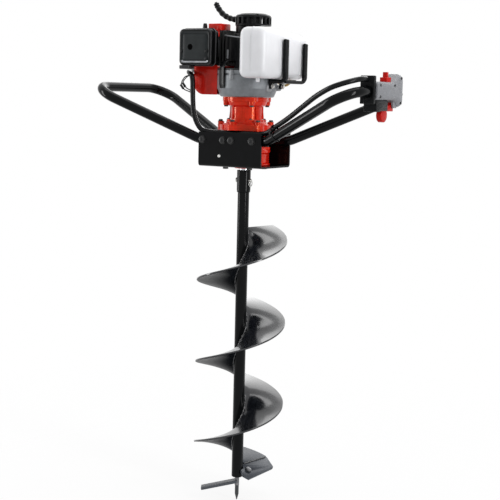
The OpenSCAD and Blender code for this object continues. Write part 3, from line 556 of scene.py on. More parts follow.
def hexbolt(place, direction, radius, head=4.0, washer=True):
    """Hexagon head with a turned crown, on a washer where asked, seat at the place."""
    parts = []
    base = 0
    if washer:
        base = 1.0
        parts.append(soften(lathe(disc(radius * 2.15, 0, base), 28), 0.25, 1))
    top = base + head
    reach = radius * 1.75
    parts.append(soften(prism(circle(6, reach, reach), base, top - 0.3), 0.35, 2))
    parts.append(lathe([(0, top), (radius * 1.2, top), (radius * 1.45, top - 0.4), (0, top - 0.4)], 24))
    return [moved(part, along(place, direction)) for part in parts]


def screw(place, direction, radius=3.6, height=2.2):
    """Round head screw with a raised cross."""
    profile = [(0, height), (radius * 0.62, height), (radius, height * 0.45), (radius, 0), (0, 0)]
    parts = [turned_form(profile, 0.5, sides=24)]
    long, wide = radius * 0.55, radius * 0.13
    for angle in (0, 90):
        bar = block((-long, -wide, height - 0.2), (long, wide, height + 0.12), 0.05, 1)
        parts.append(moved(bar, turned("Z", angle)))
    return [moved(part, along(place, direction)) for part in parts]


def dressed(node, material, width, segments=2, body=None, slot=None):
    """Copy of a CAD node with eased edges."""
    source = nodes[node]
    bm = bmesh.new()
    bm.from_mesh(source.data)
    bm.transform(Matrix.Scale(1 / MILLIMETRE, 4))
    for layer in list(bm.loops.layers.uv):
        bm.loops.layers.uv.remove(layer)
    bmesh.ops.remove_doubles(bm, verts=bm.verts, dist=CAD_WELD_DISTANCE)
    bmesh.ops.dissolve_limit(bm, angle_limit=radians(FLAT_ANGLE), verts=bm.verts, edges=bm.edges)
    soften(bm, width, segments, EDGE_ANGLE, clamp=False)
    body = source["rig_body"] if body is None else body
    return piece(node + "_form", bm, material, node, body, slot=slot)


# Auger bit. Its flight climbs evenly, apart from a lead at the lower end that is less steep.
TURNS = 2.994
SWEPT = TURNS * 360
START_ANGLE = 78 - SWEPT
FLIGHT_TOP = BIT_LEN - 130
FLIGHT_STEPS = 330
SHEET = 4
RIM_EASE = 0.9
LEAD = 131
LEAD_DROP = 56
LEAD_END_Z = FLIGHT_TOP - (TURNS - LEAD / 360) * PITCH
BLADE_SLOPE = radians(35)
# Height in metres below which the flight's lower end takes the blade's dark coating as painted shade.
PAINTED_SHADE_BELOW = 0.127
PIN_Z = BIT_LEN - 23


def helix_point(angle, radius, rise=0.0):
    """Point on the flight's upper face, the angle counted from its lower end."""
    x, y = polar(radius, START_ANGLE + angle)
    if angle > LEAD:
        z = LEAD_END_Z + (angle - LEAD) / 360 * PITCH
    else:
        z = LEAD_END_Z - LEAD_DROP * (1 - angle / LEAD)
    return Vector((x, y, z + rise))


def blade_point(outward, forward, lift):
    """Point on the cutting blade, which slopes down ahead of the flight's lower end."""
    out = Vector((*polar(1, START_ANGLE), 0))
    ahead = Vector((out.y, -out.x, 0)) * cos(BLADE_SLOPE) - UP * sin(BLADE_SLOPE)
    start = UP * (helix_point(0, 1).z + 1)
    return start + out * outward + ahead * forward + ahead.cross(out) * lift


def weld(path, size, ripple, second_ripple=0.0):
    """Bead whose thickness ripples along its path."""
    radii = [size + ripple * sin(i * 0.9) + second_ripple * sin(i * 2.3) for i in range(len(path))]
    return sweep(path, radii, 8)


def make_flight():
    radii = [13.2, 16, 20, 26, 34, 46, 60, 76, 90, 100.6]
    rings = []
    for i in range(FLIGHT_STEPS + 1):
        angle = SWEPT * i / FLIGHT_STEPS
        upper = [helix_point(angle, r) for r in radii]
        rim = [helix_point(angle, BIT_R, -RIM_EASE), helix_point(angle, BIT_R, RIM_EASE - SHEET)]
        lower = [helix_point(angle, r, -SHEET) for r in reversed(radii)]
        rings.append(upper + rim + lower)
    sheet = piece(
        "flight_sheet", skin(rings), "flight_paint", "auger_flight", "bit", 40,
        more=("flight_painted_shade", "blade_paint"))
    for face in sheet.data.polygons:
        # Below that height the faces that are not turned down get the blade coating (index 2), which is
        # painted shade.
        top_or_painted_shade = 2 if face.center.z < PAINTED_SHADE_BELOW else 0
        # Faces turned down take the underside copy, which is painted shade.
        face.material_index = 1 if face.normal.z < -0.05 else top_or_painted_shade
    bead_steps, end_gap, bead_r = 400, 3, 13.9
    beads = []
    for rise in (0.7, -0.7 - SHEET):
        path = [helix_point(end_gap + (SWEPT - 2 * end_gap) * i / bead_steps, bead_r, rise)
                for i in range(bead_steps + 1)]
        beads.append(weld(path, 1.7, 0.35, 0.2))
    seam_steps, seam_from, seam_long = 120, 20, 74
    seam = [blade_point(seam_from + seam_long * i / seam_steps, 3.6, 0.2) for i in range(seam_steps + 1)]
    beads.append(weld(seam, 1.5, 0.3))
    piece("flight_weld", beads, "flight_paint", None, "bit", 70)


def make_bit():
    make_flight()
    socket_foot = BIT_LEN - 45
    tube = [(0, PILOT), (11, PILOT), (13, PILOT + 2), (13, socket_foot - 3), (15.5, socket_foot),
            (15.5, BIT_LEN), (10.5, BIT_LEN), (10.5, BIT_LEN - 6)]
    fillet = [(12.9, socket_foot - 5.5), (14.6, socket_foot - 4.6), (15.3, socket_foot - 2.4),
              (15.0, socket_foot), (12.9, socket_foot)]
    parts = [turned_form(tube, [0, 1, 1, 1, 1, 1, 0.6, 0], sides=48), lathe(fillet, 48, closed=True)]
    piece("bit_tube", parts, "black_paint", "auger_tube", "bit")
    point = turned_form(
        [(0, 0), (0.9, 0.2), (4.5, 14), (4.5, 34), (5.1, 34.4), (5.1, PILOT + 1), (0, PILOT + 1)],
        [0, 0.5, 3, 0, 0.2, 0, 0], sides=28)
    rings = [
        lathe([(5.05, z - 0.8), (5.25, z), (5.05, z + 0.8), (4.6, z)], 28, closed=True) for z in (37, 39.5)]
    piece("point", [point] + rings, "worn_steel", "pilot_point", "bit")
    dressed("cutter_blade", "blade_paint", 0.9)
    dressed("side_blade", "blade_paint", 1.0)
    dressed("blade_bolts", "worn_steel", 0.4, slot="bolt_steel")
    pin = turned_form([(0, -19), (5.6, -19), (5.6, -16), (3.9, -16), (3.9, 20), (0, 20)], 0.5, sides=24)
    ring_r = 6.75
    ring = [(18 + 0.6 * x, ring_r * y, PIN_Z + ring_r * (x - 1)) for x, y in circle(24) + [(1, 0)]]
    parts = [moved(pin, at(0, 0, PIN_Z) @ turned("Y", 90)), sweep(ring, 0.9, 8)]
    piece("cross_pin", parts, "bolt_steel", "coupling_pin", "bit")


# Channel frame and handle loops
FRAME_SHEET = 4
HANDLE_BOLTS_X = (-71, -17, 4, 57)
BASE_BOLTS_R = 44
LEG_BEND_R = 40


def make_frame():
    inside = HALF_W - FRAME_SHEET
    floor_z = FRAME_Z + FRAME_SHEET
    outer = rounded(
        [(-HALF_W, FRAME_TOP), (-HALF_W, FRAME_Z), (HALF_W, FRAME_Z), (HALF_W, FRAME_TOP)], [0, 8, 8, 0], 6)
    inner = rounded(
        [(inside, FRAME_TOP), (inside, floor_z), (-inside, floor_z), (-inside, FRAME_TOP)], [0, 4, 4, 0], 6)
    plate = skin([[(x, p.x, p.y) for p in outer + inner] for x in (-HALF_L, HALF_L)])
    piece("channel", soften(plate, 0.7, 2, 50), "black_paint", "frame_channel")
    bolts = joined(
        hexbolt((x, side * HALF_W, TUBE_Z), (0, side, 0), 4, 5.0) for x in HANDLE_BOLTS_X for side in (-1, 1))
    piece("loop_bolts", bolts, "dark_bolt", "handle_bolts")
    bolts = joined(hexbolt((*polar(BASE_BOLTS_R, angle, CASE_X), FRAME_Z), DOWN, 4, 4.6) for angle in CORNERS)
    piece("base_bolt_heads", bolts, "dark_bolt", "base_bolts", slot="black_paint")
    rivets = []
    for side in (-1, 1):
        rivet = turned_form([(0, 1.6), (3, 1.4), (4.2, 0), (0, 0)], 0.5, sides=20)
        rivets.append(moved(rivet, along((-26, side * HALF_W, 795), (0, side, 0))))
    piece("rivets", rivets, "bolt_steel", slot="black_paint")


def loop_path(end_x, mirror):
    points = [
        (end_x, -TUBE_Y, TUBE_Z), (LEG_X, -TUBE_Y, TUBE_Z), (GRIP_X, -GRIP_HALF, GRIP_Z),
        (GRIP_X, GRIP_HALF, GRIP_Z), (LEG_X, TUBE_Y, TUBE_Z), (end_x, TUBE_Y, TUBE_Z)]
    path = rounded(points, [0, LEG_BEND_R, CORNER_R, CORNER_R, LEG_BEND_R, 0], 14, closed=False)
    return [Vector((p.x * mirror, p.y, p.z)) for p in path]


def eased_tube(path, radius, ease=0.4):
    """Sweep with eased rims at its two ends."""
    first = path[0] + (path[1] - path[0]).normalized() * ease
    last = path[-1] + (path[-2] - path[-1]).normalized() * ease
    points = [path[0], first] + path[1:-1] + [last, path[-1]]
    return sweep(points, [radius - ease] + [radius] * (len(points) - 2) + [radius - ease], 32)


def make_handles():
    for side, end_x, mirror in (("left", 9.5, -1), ("right", -5.5, 1)):
        bar = eased_tube(loop_path(end_x, mirror), BAR_R)
        piece(side + "_bar", bar, "black_paint", "handle_" + side)


# Gearbox castings
COVER_BOLTS_R = 56
MID_LOBES = (20, 160, 200, 340)
MID_BOLTS_R = 49
CLUTCH_BOLTS_R = 47
LUG_FOOT = 907


def round_form(centre_x, profile, radius=1.2, sides=64):
    return turned_form(profile, radius, sides=sides, centre=(centre_x, 0, 0))


def post(place, radius, foot, top, taper=0.0):
    """Round boss, wider at its foot by the taper."""
    profile = [(0, top), (radius, top), (radius + taper, foot), (0, foot)]
    return turned_form(profile, 0.9, sides=24, centre=(*place, 0))


def flange(centre_x, radius, lobes, height, width, foot, top, ease=1.0):
    """Flat round plate with bolt lobes."""
    plate = prism(lobed(radius, lobes, height, width), foot, top)
    return moved(soften(plate, ease, 2, 50), at(centre_x, 0, 0))


def make_gear_case():
    wall = [(0, CASE_TOP), (56, CASE_TOP), (56, 804), (53, 801), (52, 782), (56, 779), (56, CASE_FOOT),
            (0, CASE_FOOT)]
    collar = [(0, 776), (21.5, 776), (21.5, 767), (19, 767), (19, 770), (10.2, 770)]
    case = [round_form(CASE_X, wall, 1.5), round_form(0, collar, 0.8, 48)]
    case += [post(polar(47, angle, CASE_X), 8, CASE_FOOT + 0.2, 806) for angle in CORNERS]
    piece("case_casting", case, "red_paint", "gear_case")


def make_gear_mid():
    mid = [flange(CASE_X, 50, (*MID_LOBES, IDLER_LOBE), 6, 17, CASE_TOP, CASE_TOP + 5),
           round_form(CASE_X + 1, disc(30, 815, MID_TOP), 3),
           turned_form(disc(5.8, 815, 853), 0.8, sides=24, centre=IDLER),
           flange(CASE_X, 58.5, COVER_LOBES, 4, 17, MID_TOP, COVER_FOOT, 0.8)]
    for angle in range(20, 380, 45):
        rib = block((29, -1.6, 818), (44, 1.6, MID_TOP - 1), 1.2)
        mid.append(moved(rib, at(CASE_X, 0, 0) @ turned("Z", angle)))
    piece("mid_casting", mid, "red_paint", "gear_mid")


def make_gear_cover():
    bolted = [angle for angle in COVER_LOBES if angle != IDLER_LOBE]
    cover = [
        flange(CASE_X, 58.5, COVER_LOBES, 4, 17, COVER_FOOT + 0.15, 864),
        round_form(CASE_X, [(0, 868), (52, 868), (56, 862), (56, 858), (0, 858)], 2),
        round_form(AXIS_X, [(0, COVER_TOP), (45.5, COVER_TOP), (47, 866), (0, 866)], 1)]
    cover += [post(polar(55, angle, CASE_X), 7.2, 857, COVER_TOP) for angle in bolted]
    cover.append(turned_form([(0, 870.6), (8, 870.6), (9, 862), (0, 862)], 1.2, sides=28, centre=IDLER))
    piece("cover_casting", cover, "red_paint", "gear_cover")
    rows = ((bolted, COVER_BOLTS_R, COVER_TOP), (MID_LOBES, MID_BOLTS_R, CASE_TOP + 5))
    heads = joined(
        hexbolt((*polar(radius, angle, CASE_X), seat), UP, 2.9, 3.4)
        for angles, radius, seat in rows for angle in angles)
    piece("cover_bolt_heads", heads, "dark_bolt", "cover_bolts")


def make_clutch_housing():
    wall_in, wall_out = 32.6, 35.6
    cup = [(13, COVER_TOP), (wall_out, COVER_TOP), (wall_out, CLUTCH_TOP), (wall_in, CLUTCH_TOP),
           (wall_in, 879), (13, 879)]
    flare = [(34, 916.5), (46.5, 916.5), (43, LUG_FOOT), (35, 903)]
    body = [
        round_form(AXIS_X, cup, [0, 0, 0, 0.5, 0, 0]),
        flange(AXIS_X, 39, CORNERS, 5.5, 20, COVER_TOP, COVER_TOP + 5),
        flange(AXIS_X, 48, CORNERS, 6, 19, CLUTCH_TOP - 9, CLUTCH_TOP, 1.2),
        round_form(AXIS_X, flare, 1.5)]
    body += [post(polar(CLUTCH_BOLTS_R, angle, AXIS_X), 6.8, LUG_FOOT, 917, -0.8) for angle in CORNERS]
    fin_outline = ((34.5, 877), (39.2, 877), (37.6, 892), (37.4, 904), (41, 915), (34.5, 915))
    for k in range(8):
        fin = skin([[(x, y, z) for x, z in fin_outline] for y in (-1.8, 1.8)])
        body.append(moved(soften(fin, 0.7, 2), at(AXIS_X, 0, 0) @ turned("Z", 22.5 + 45 * k)))
    piece("clutch_casting", body, "red_paint", "clutch_housing")
    heads = []
    for angle in CORNERS:
        heads += hexbolt((*polar(40.7, angle, AXIS_X), COVER_TOP + 5), UP, 2, 2.2, False)
        heads += hexbolt((*polar(CLUTCH_BOLTS_R, angle, AXIS_X), LUG_FOOT), DOWN, 2.9, 3.4, False)
    piece("flange_bolt_heads", heads, "dark_bolt", "housing_bolts")


# Fan case
FAN_R = 67
FAN_POSTS_R = 65.5


def make_fan_case():
    wall = [(22, 925.2), (57, 925.2), (60, 927), (FAN_R, 944), (FAN_R, 972), (64.5, 972), (64.5, 976),
            (FAN_R, 976), (FAN_R, FAN_TOP), (60, FAN_TOP)]
    parts = [round_form(AXIS_X, wall, [0, 1.5, 2, 4, 0.6, 0.3, 0.3, 0.6, 0.8, 0], 96)]
    posts = [polar(FAN_POSTS_R, angle, AXIS_X) for angle in range(30, 390, 60)]
    parts += [post(place, 5.2, 962, FAN_TOP, 0.8) for place in posts]
    parts.append(block((50, -24, 938), (70.9, -3, 953), 4, 3))
    parts.append(block((50, 27, 940), (68, 43, 953), 4, 3))
    piece("fan_casing", parts, "cast_metal", "fan_case")
    screws = joined(screw((*place, FAN_TOP), UP, 3.4, 2.4) for place in posts)
    piece("fan_casing_screws", screws, "dark_bolt")


# Muffler
MUFFLER_LEFT = -129
MUFFLER_RIGHT = -43
MUFFLER_FOOT = 992
MUFFLER_TOP = 1072
MUFFLER_CORNER = 10
OUTLET = (-97, -79.6, 1032)

# Depth and inset of each outline from the back to the front: back edge, seam bead, rim, groove, panel
MUFFLER_STEPS = (
    (-46, 8), (-46.3, 4), (-49, 0.6), (-50, 0.3), (-59.5, 0.3), (-60, -0.6), (-60.3, -1.5), (-62.7, -1.5),
    (-63, -0.6), (-63.5, 0.3), (-74, 0.3), (-76.5, 1.2), (-78.2, 3), (-79, 5), (-79, 6), (-77.4, 9.5),
    (-77.4, 10.5), (-79.6, 12.5), (-80, 14), (-80, 20))


def muffler_outline(y, inset):
    return xz_rect(
        y, MUFFLER_LEFT + inset, MUFFLER_FOOT + inset, MUFFLER_RIGHT - inset, MUFFLER_TOP - inset,
        max(1.5, MUFFLER_CORNER - inset * 0.5), 6)


def make_muffler():
    body = skin([muffler_outline(y, inset) for y, inset in MUFFLER_STEPS])
    foot = block((-84, -47, 1014), (-46, -38.2, 1050), 2)
    lip = block((-127, -79, 984), (-101, -55, 992.5), 2)
    shell = piece(
        "muffler_shell", [body, foot, lip], "muffler_black", "muffler", more=("muffler_panel", "muffler_painted_highlight"))
    border, front_y, rim_height = 6, -77.3, 12
    for face in shell.data.polygons:
        x, y, z = face.center / MILLIMETRE
        across = MUFFLER_LEFT + border < x < MUFFLER_RIGHT - border
        if y < front_y and across and MUFFLER_FOOT + border < z < MUFFLER_TOP - border:
            # Upward slopes of the groove near the foot take the painted highlight; the rest of the front
            # panel takes the pressing.
            in_painted_highlight = face.normal.z > 0.2 and z < MUFFLER_FOOT + rim_height
            face.material_index = 2 if in_painted_highlight else 1
    rim = lathe([(6.6, 0), (8.4, 0), (8.9, 0.4), (8.2, 0.8), (6.6, 0.7)], 32, closed=True)
    piece("outlet_rim", moved(rim, along(OUTLET, FRONT)), "muffler_panel")
    # A dark disc in the outlet where no hole is cut: painted shade.
    painted_disc = lathe(disc(7, -0.4, 0.6), 32)
    piece("outlet_shade_disc", moved(painted_disc, along(OUTLET, FRONT)), "painted_hole_shade")
    heads = joined(screw((x, -79.4, z), FRONT) for x, z in ((-56, 1007), (-56, 1023), (-121, 1023)))
    piece("muffler_screws", heads, "dark_bolt", "muffler_bolts")


# Fuel tank with its cap
TANK_LOW = Vector((35, -95, 966))
TANK_HIGH = Vector((101, 95, 1076))
TANK_SLOPE = tan(radians(4))
TANK_LEVEL = TANK_LOW.z + 40
TANK_FALL_FROM = -96
TANK_SEAM_X = 68
CAP_SEAT = (TANK_SEAM_X, 95.5, TANK_HIGH.z - 30)


def tank_fall(y, z):
    """Height after the tank's upper part is sloped down towards its back."""
    share = max(0, z - TANK_LEVEL) / (TANK_HIGH.z - TANK_LEVEL)
    return z - max(0, y - TANK_FALL_FROM) * TANK_SLOPE * share


def tank_outline(z, inset):
    outline = rect(
        TANK_LOW.x + inset, TANK_LOW.y + inset, TANK_HIGH.x - inset, TANK_HIGH.y - inset,
        max(4, 15 - inset * 0.4), 7)
    return [(p.x, p.y, tank_fall(p.y, z)) for p in outline]


def make_tank():
    low, high = TANK_LOW.z, TANK_HIGH.z
    body = skin([tank_outline(z, inset) for z, inset in (
        (low, 13), (low + 1.2, 8), (low + 4, 4), (low + 8.5, 1.2), (low + 14, 0), (low + 52, 0),
        (high - 24, 0), (high - 13, 0.8), (high - 7, 3), (high - 3, 6.5), (high - 0.8, 11), (high, 17))])
    fan_room = lathe(disc(69, 950, 989), 96, (AXIS_X, 0, 0))
    front, back = TANK_LOW.y + 0.2, TANK_HIGH.y + 0.1
    seam_route = (
        (front, low + 14), (front, high - 9), (TANK_LOW.y + 9, high - 0.3), (TANK_HIGH.y - 9, high - 0.3),
        (back, high - 9), (back, low + 14))
    seam = rounded([(TANK_SEAM_X, y, tank_fall(y, z)) for y, z in seam_route], 7, 5, closed=False)
    neck = turned_form([(0, 0), (15, 0), (15, 9), (11, 9), (0, 9)], 0.8, sides=40)
    drain = turned_form(
        [(0, 958), (3.6, 958), (4.4, 962), (4.4, 968), (0, 968)], 0.6, sides=20, centre=(74, -72, 0))
    parts = [
        cut(body, fan_room), sweep(seam, 0.55, 8),
        moved(neck, along((TANK_SEAM_X, TANK_HIGH.y, high - 30), BACK)), drain]
    face_x = TANK_HIGH.x
    for y in (-23, -1, 62, 84):
        rib = [(face_x - 0.35, y, low + 8), (face_x - 0.1, y, low + 30), (face_x - 0.1, y, high - 40),
               (face_x - 0.5, y, high - 26)]
        parts.append(sweep(rib, 0.9, 8))
    piece("tank_shell", parts, "tank_plastic", "fuel_tank", angle=50)
    seat = along(CAP_SEAT, BACK)
    lid = turned_form([(0, 15), (14, 15), (18, 13.5), (19, 3), (19, 0.5), (0, 0.5)], 1.5, sides=48)
    cap = [moved(lid, seat)]
    for k in range(20):
        grip = block((18.2, -1.3, 2), (20, 1.3, 13), 0.6, 2)
        cap.append(moved(grip, seat @ turned("Z", 18 * k)))
    piece("tank_cap", cap, "black_plastic", "fuel_cap", "cap")


# Tank guard: two upright bars that bend in below the tank
GUARD_X = 107.5
GUARD_HALF_THICK = 4.4
NEAR_BAR_Y = -12
FAR_BAR_Y = 73


def guard_end(y, half_wide, top):
    """Rounded upper end of a bar."""
    return block(
        (GUARD_X - GUARD_HALF_THICK, y - half_wide, top - 8),
        (GUARD_X + GUARD_HALF_THICK, y + half_wide, top), 3.6, 4)


def make_guard():
    near_half, near_top, near_foot = 7.8, 1051.5, 960.5
    far_half, far_top, far_foot = 6.8, 1045.5, 959.5
    near_flat = [(b, a) for a, b in strip(GUARD_HALF_THICK, near_half, 3.2, 4)]
    near_path = rounded(
        [(GUARD_X, NEAR_BAR_Y, near_top - 2), (GUARD_X, NEAR_BAR_Y, near_foot),
         (71.6, NEAR_BAR_Y, near_foot)], [0, 10, 0], 8, closed=False)
    far_flat = strip(GUARD_HALF_THICK, far_half, 3.2, 4)
    far_path = rounded(
        [(GUARD_X, FAR_BAR_Y, far_top - 2), (GUARD_X, FAR_BAR_Y, far_foot), (GUARD_X, NEAR_BAR_Y, far_foot)],
        [0, 14, 0], 8, closed=False)
    bend = len(far_path) / 2 - 3
    thinning = [1 - 0.45 * min(1, max(0, (i - bend) / 5)) for i in range(len(far_path))]
    bars = [sweep(near_path, 1, section=near_flat, side=(0, 1, 0)),
            guard_end(NEAR_BAR_Y, near_half, near_top),
            sweep(far_path, thinning, section=far_flat, side=(1, 0, 0)),
            guard_end(FAR_BAR_Y, far_half, far_top),
            block((68.2, 28.2, 956.2), (106, 41.8, 964.8), 2.5)]
    heads = []
    for x, y in ((71.1, -20), (68.2, 28)):
        bars.append(block((x, y, 944.2), (x + 5, y + 14, 964), 1.2))
        heads += hexbolt((x + 5, y + 7, 950), (1, 0, 0), 2.6, 3)
    piece("guard_bars", bars, "black_paint", "tank_guard", angle=40)
    piece("guard_bolts", heads, "bolt_steel")


# Recoil starter with its rope and pull handle
STARTER_X = 14
STARTER_Y = 3
STARTER_FOOT = 1081
STARTER_TOP = 1107
STARTER_SEAT = 1064
ROPE_Y = 22
ROPE_Z = 1095
PULL_X = -26.2
ROPE_END_X = -26.5
ROPE_LONG = 30
ROPE_STEPS = 40
LAY_TURN = 0.9
STRAND_TURN = 2.094
STRAND_OFF = 0.8
GRIP_RIBS = 9


def make_starter():
    centre, foot, top = (STARTER_X, STARTER_Y, 0), STARTER_FOOT, STARTER_TOP
    lid = [(0, top), (24, top), (33, top - 1.2), (38.5, top - 4), (40, top - 8), (38, top - 9.5),
           (0, top - 9.5)]
    rim = [(0, foot + 3.5), (38.6, foot + 3.5), (40, foot + 2), (40, foot), (0, foot)]
    drum = disc(29.5, top - 6, foot + 1)
    neck = disc(28, STARTER_SEAT, foot + 1)
    leg = disc(6, foot + 2, STARTER_SEAT + 0.2)
    parts = [
        turned_form(lid, [0, 2, 4, 4, 1.2, 0.6, 0], sides=72, centre=centre),
        turned_form(rim, [0, 0.8, 0.8, 0.5, 0], sides=72, centre=centre),
        round_form(AXIS_X, drum, 0.5), round_form(AXIS_X, neck, 0.5, 56)]
    for r in (10, 18, 26):
        ridge = [(r, top - 0.6), (r + 0.6, top), (r + 2.2, top), (r + 2.8, top - 0.6)]
        parts.append(lathe(ridge, 64, centre, closed=True))
    for k in range(18):
        rib = block((35.5, -2.6, foot + 2), (39.8, 2.6, top - 7), 0.9, 2)
        parts.append(moved(rib, at(*centre) @ turned("Z", 20 * k + 4)))
    spout = turned_form([(3.2, 0), (7, 0), (7, 9), (5, 11), (3.2, 11)], 0.8, sides=28)
    parts.append(moved(spout, along((-12, ROPE_Y, ROPE_Z), LEFT)))
    for angle in (60, 180, 300):
        parts.append(turned_form(leg, 0.6, sides=20, centre=(*polar(25, angle, AXIS_X), 0)))
    piece("starter_housing", parts, "black_plastic", "starter_case")
    heads = []
    for angle in (75, 195, 315):
        x, y = polar(35, angle, STARTER_X)
        heads += screw((x, y + STARTER_Y, top - 2.8), (*polar(0.25, angle), 1), 3.2, 2)
    piece("starter_screws", heads, "dark_bolt")


def make_pull():
    x, y, z = PULL_X, ROPE_Y, ROPE_Z
    path = spline([(x - back, y, z + rise) for back, rise in (
        (0, 0.5), (11, 1.5), (25, 3), (39, 7), (53, 15), (64.5, 27), (69, 34), (72.5, 40.5))], 14)
    sizes = []
    for i in range(len(path)):
        t = i / (len(path) - 1)
        ribbed = 7.0 - 0.6 * t + 0.6 * sin(t * 2 * pi * GRIP_RIBS)
        start_taper = min(1, 0.55 + t * 6)
        end_taper = min(1, max(0.25, (1 - t) * 14) ** 0.5)
        sizes.append(ribbed * start_taper * end_taper)
    grip = sweep(path, sizes, section=circle(20, 0.92, 1.02))
    piece("pull_grip", grip, "black_plastic", "pull_handle", "puller", 60)
    strands = []
    for strand in range(3):
        line = []
        for i in range(ROPE_STEPS + 1):
            turn = i * LAY_TURN + strand * STRAND_TURN
            along_x = ROPE_END_X + ROPE_LONG * i / ROPE_STEPS
            line.append((along_x, y + STRAND_OFF * cos(turn), z + STRAND_OFF * sin(turn)))
        strands.append(sweep(line, 1.1, 8))
    rope = piece("rope_lay", strands, "rope_fibre", "starter_rope", "", 80)
    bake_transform(rope)


# Other engine pieces: those with eased edges, then the routes of the plug lead and the fuel hose
EASED = (
    ("fan_shroud", "red_plastic", 1.2, 3),
    ("cylinder_cover", "red_plastic", 2.0, 3),
    ("engine_cylinder", "dark_cast", 0.4, 1),
    ("crankcase", "dark_cast", 0.8, 2),
    ("filter_cover", "black_plastic", 2.0, 3),
    ("filter_base", "black_plastic", 0.8, 2),
    ("carburettor", "cast_metal", 0.8, 2),
    ("ignition_coil", "black_plastic", 0.8, 2),
    ("intake_spacer", "black_plastic", 0.6, 2),
    ("choke_lever", "black_plastic", 0.5, 2),
)
PLUG_LEAD = below_axis((
    (-124, 0, 6), (-125, 2, 20), (-126, 12, 34), (-122, 34, 40), (-108, 54, 41), (-80, 62, 40),
    (-50, 64, 38), (-26, 60, 36), (-16, 54, 35), (-6.1, 54, 35)))
FUEL_HOSE = below_axis((
    (66, 82, 66), (66, 82, 72), (50, 86, 79), (24, 90, 70), (0, 88, 54), (-18, 78, 34), (-36, 66, 13),
    (-45.9, 66, 13)))
HOSE_R = 3


def make_engine_rest():
    for node, material, width, segments in EASED:
        dressed(node, material, width, segments)
    bulb = dressed("primer_bulb", "clear_rubber", 0.5, 2, body="")
    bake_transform(bulb)
    dressed("throttle_arm", "bare_steel", 0.3)
    knob = turned_form(
        [(0, 1086), (3.4, 1086), (4.6, 1083), (5.6, 1075), (7.5, 1074), (7.5, 1069.8), (0, 1069.8)], 0.8,
        sides=24, centre=(-91.5, -30, 0))
    piece("cover_screw", knob, "dark_bolt")
    boot = turned_form([(0, 0), (8, 0), (8, 4), (7.2, 5), (8, 6), (8, 16), (6, 20), (0, 20)], 0.8, sides=28)
    parts = [moved(boot, along((-108, 0, CYL_Z), LEFT)), sweep(spline(PLUG_LEAD), HOSE_R, 14)]
    piece("plug_lead", parts, "black_rubber", "plug_boot")
    hose = sweep(spline(FUEL_HOSE), HOSE_R, 14)
    piece("fuel_line", hose, "clear_rubber", "fuel_hose")


# Small pieces seen round the engine
STRAP_WAY = Vector((-0.375, -0.927, 0))
STRAP_ROUTE = ((58, 1003), (66, 998), (69.3, 989), (69.5, 952), (67.5, 944))


def stop_wire(bow, sag):
    """Loose wire with a joining sleeve at its middle."""
    path = spline((
        (-107, -60, 972), (-117 - bow, -63, 966), (-125 - bow, -64, 955 - sag),
        (-118 - bow, -64, 944 - sag), (-108, -62, 938 - sag), (-101, -61, 934 - sag)))
    middle = len(path) // 2
    sleeve = turned_form([(0, -6), (2.3, -6), (2.6, -4), (2.6, 6), (0, 6)], 0.6, sides=16)
    way = path[middle + 2] - path[middle]
    return [sweep(path, 1.2, 10), moved(sleeve, along(path[middle], way))]


def make_small_parts():
    route = rounded(
        [Vector((AXIS_X, 0, z)) + STRAP_WAY * r for r, z in STRAP_ROUTE], [0, 5, 8, 6, 0], 5, closed=False)
    strap = sweep(route, 1, section=strip(1.6, 8.5, 1.2, 3), side=STRAP_WAY)
    piece("case_strap", strap, "black_rubber", angle=50)
    step = [block((-58, -42, 1056), (-47, -38.2, 1073), 1.5), block((-52, -42, 1070), (-44, -36, 1080), 1.5)]
    piece("cover_step", step, "red_plastic")
    rod = spline([(-33, -38, 1059), (-20, -42, 1057), (8, -44, 1054), (30, -44, 1052), (35.5, -44, 1052)], 6)
    stay = [sweep(rod, 1.5, 12), block((-27, -41, 1008), (-22.5, -38, 1028), 1)]
    piece("stay_rod", stay, "cast_metal", slot="bolt_steel")
    piece("stop_wires", stop_wire(0, 0) + stop_wire(5, 4), "black_rubber", angle=50)


# Throttle unit on the right grip
# Outlines of the housing along the grip: place, half width, lower and upper edge, corner radius
HOUSING = (
    (-50.9, 18, 928, 960, 9), (-50.2, 20, 926, 962, 10), (-48, 21, 925, 963, 10), (36, 21, 925, 963, 10),
    (46, 21, 922, 967, 12), (55, 21, 914.5, 977, 13), (60, 21, 911.5, 980.6, 14), (67.5, 21, 911, 981, 14),
    (69.4, 20, 912.5, 979.5, 13), (70, 18, 914.5, 977.5, 12))
HOUSING_SCREWS = ((-38, 956), (30, 956), (-38, 932), (62, 972), (62, 920))
SCREW_OFF = 20.8


def make_throttle():
    outlines = [xz_rect(y, GRIP_X - half, low, GRIP_X + half, high, r) for y, half, low, high, r in HOUSING]
    lugs = [block((GRIP_X + x, 44, 909), (GRIP_X + x + 5.5, 60, 926), 1.5) for x in (-12, 6.5)]
    seam = sweep([(GRIP_X, y, z) for y, z in ((-49, 962.6), (-46, 963.05), (8, 963.05))], 0.5, 8)
    piece("throttle_shell", [skin(outlines)] + lugs + [seam], "grey_plastic", "throttle_housing", angle=40)
    heads = joined(
        screw((GRIP_X + side * SCREW_OFF, y, z), (side, 0, 0), 3.2, 1)
        for y, z in HOUSING_SCREWS for side in (-1, 1))
    piece("throttle_screws", heads, "dark_bolt")
    dressed("throttle_clamp", "black_plastic", 1.8, 3)
    dressed("throttle_trigger", "grip_red", 1.4, 3)
    dressed("stop_switch", "grip_red", 0.9, 2)


# Conduit from the engine over the frame and up the handle's leg, with one cable tie
CONDUIT_R = 5.6
LEG_START = Vector((LEG_X, -TUBE_Y, TUBE_Z))
LEG_WAY = (Vector((GRIP_X, -GRIP_HALF, GRIP_Z)) - LEG_START).normalized()
LEG_UP = (UP - LEG_WAY * LEG_WAY.z).normalized()
LAY = BAR_R + 5.1
TIE_PLACE = 36


def on_leg(distance, rise):
    """Point above the handle's leg."""
    return LEG_START + LEG_WAY * distance + LEG_UP * (LAY + rise)


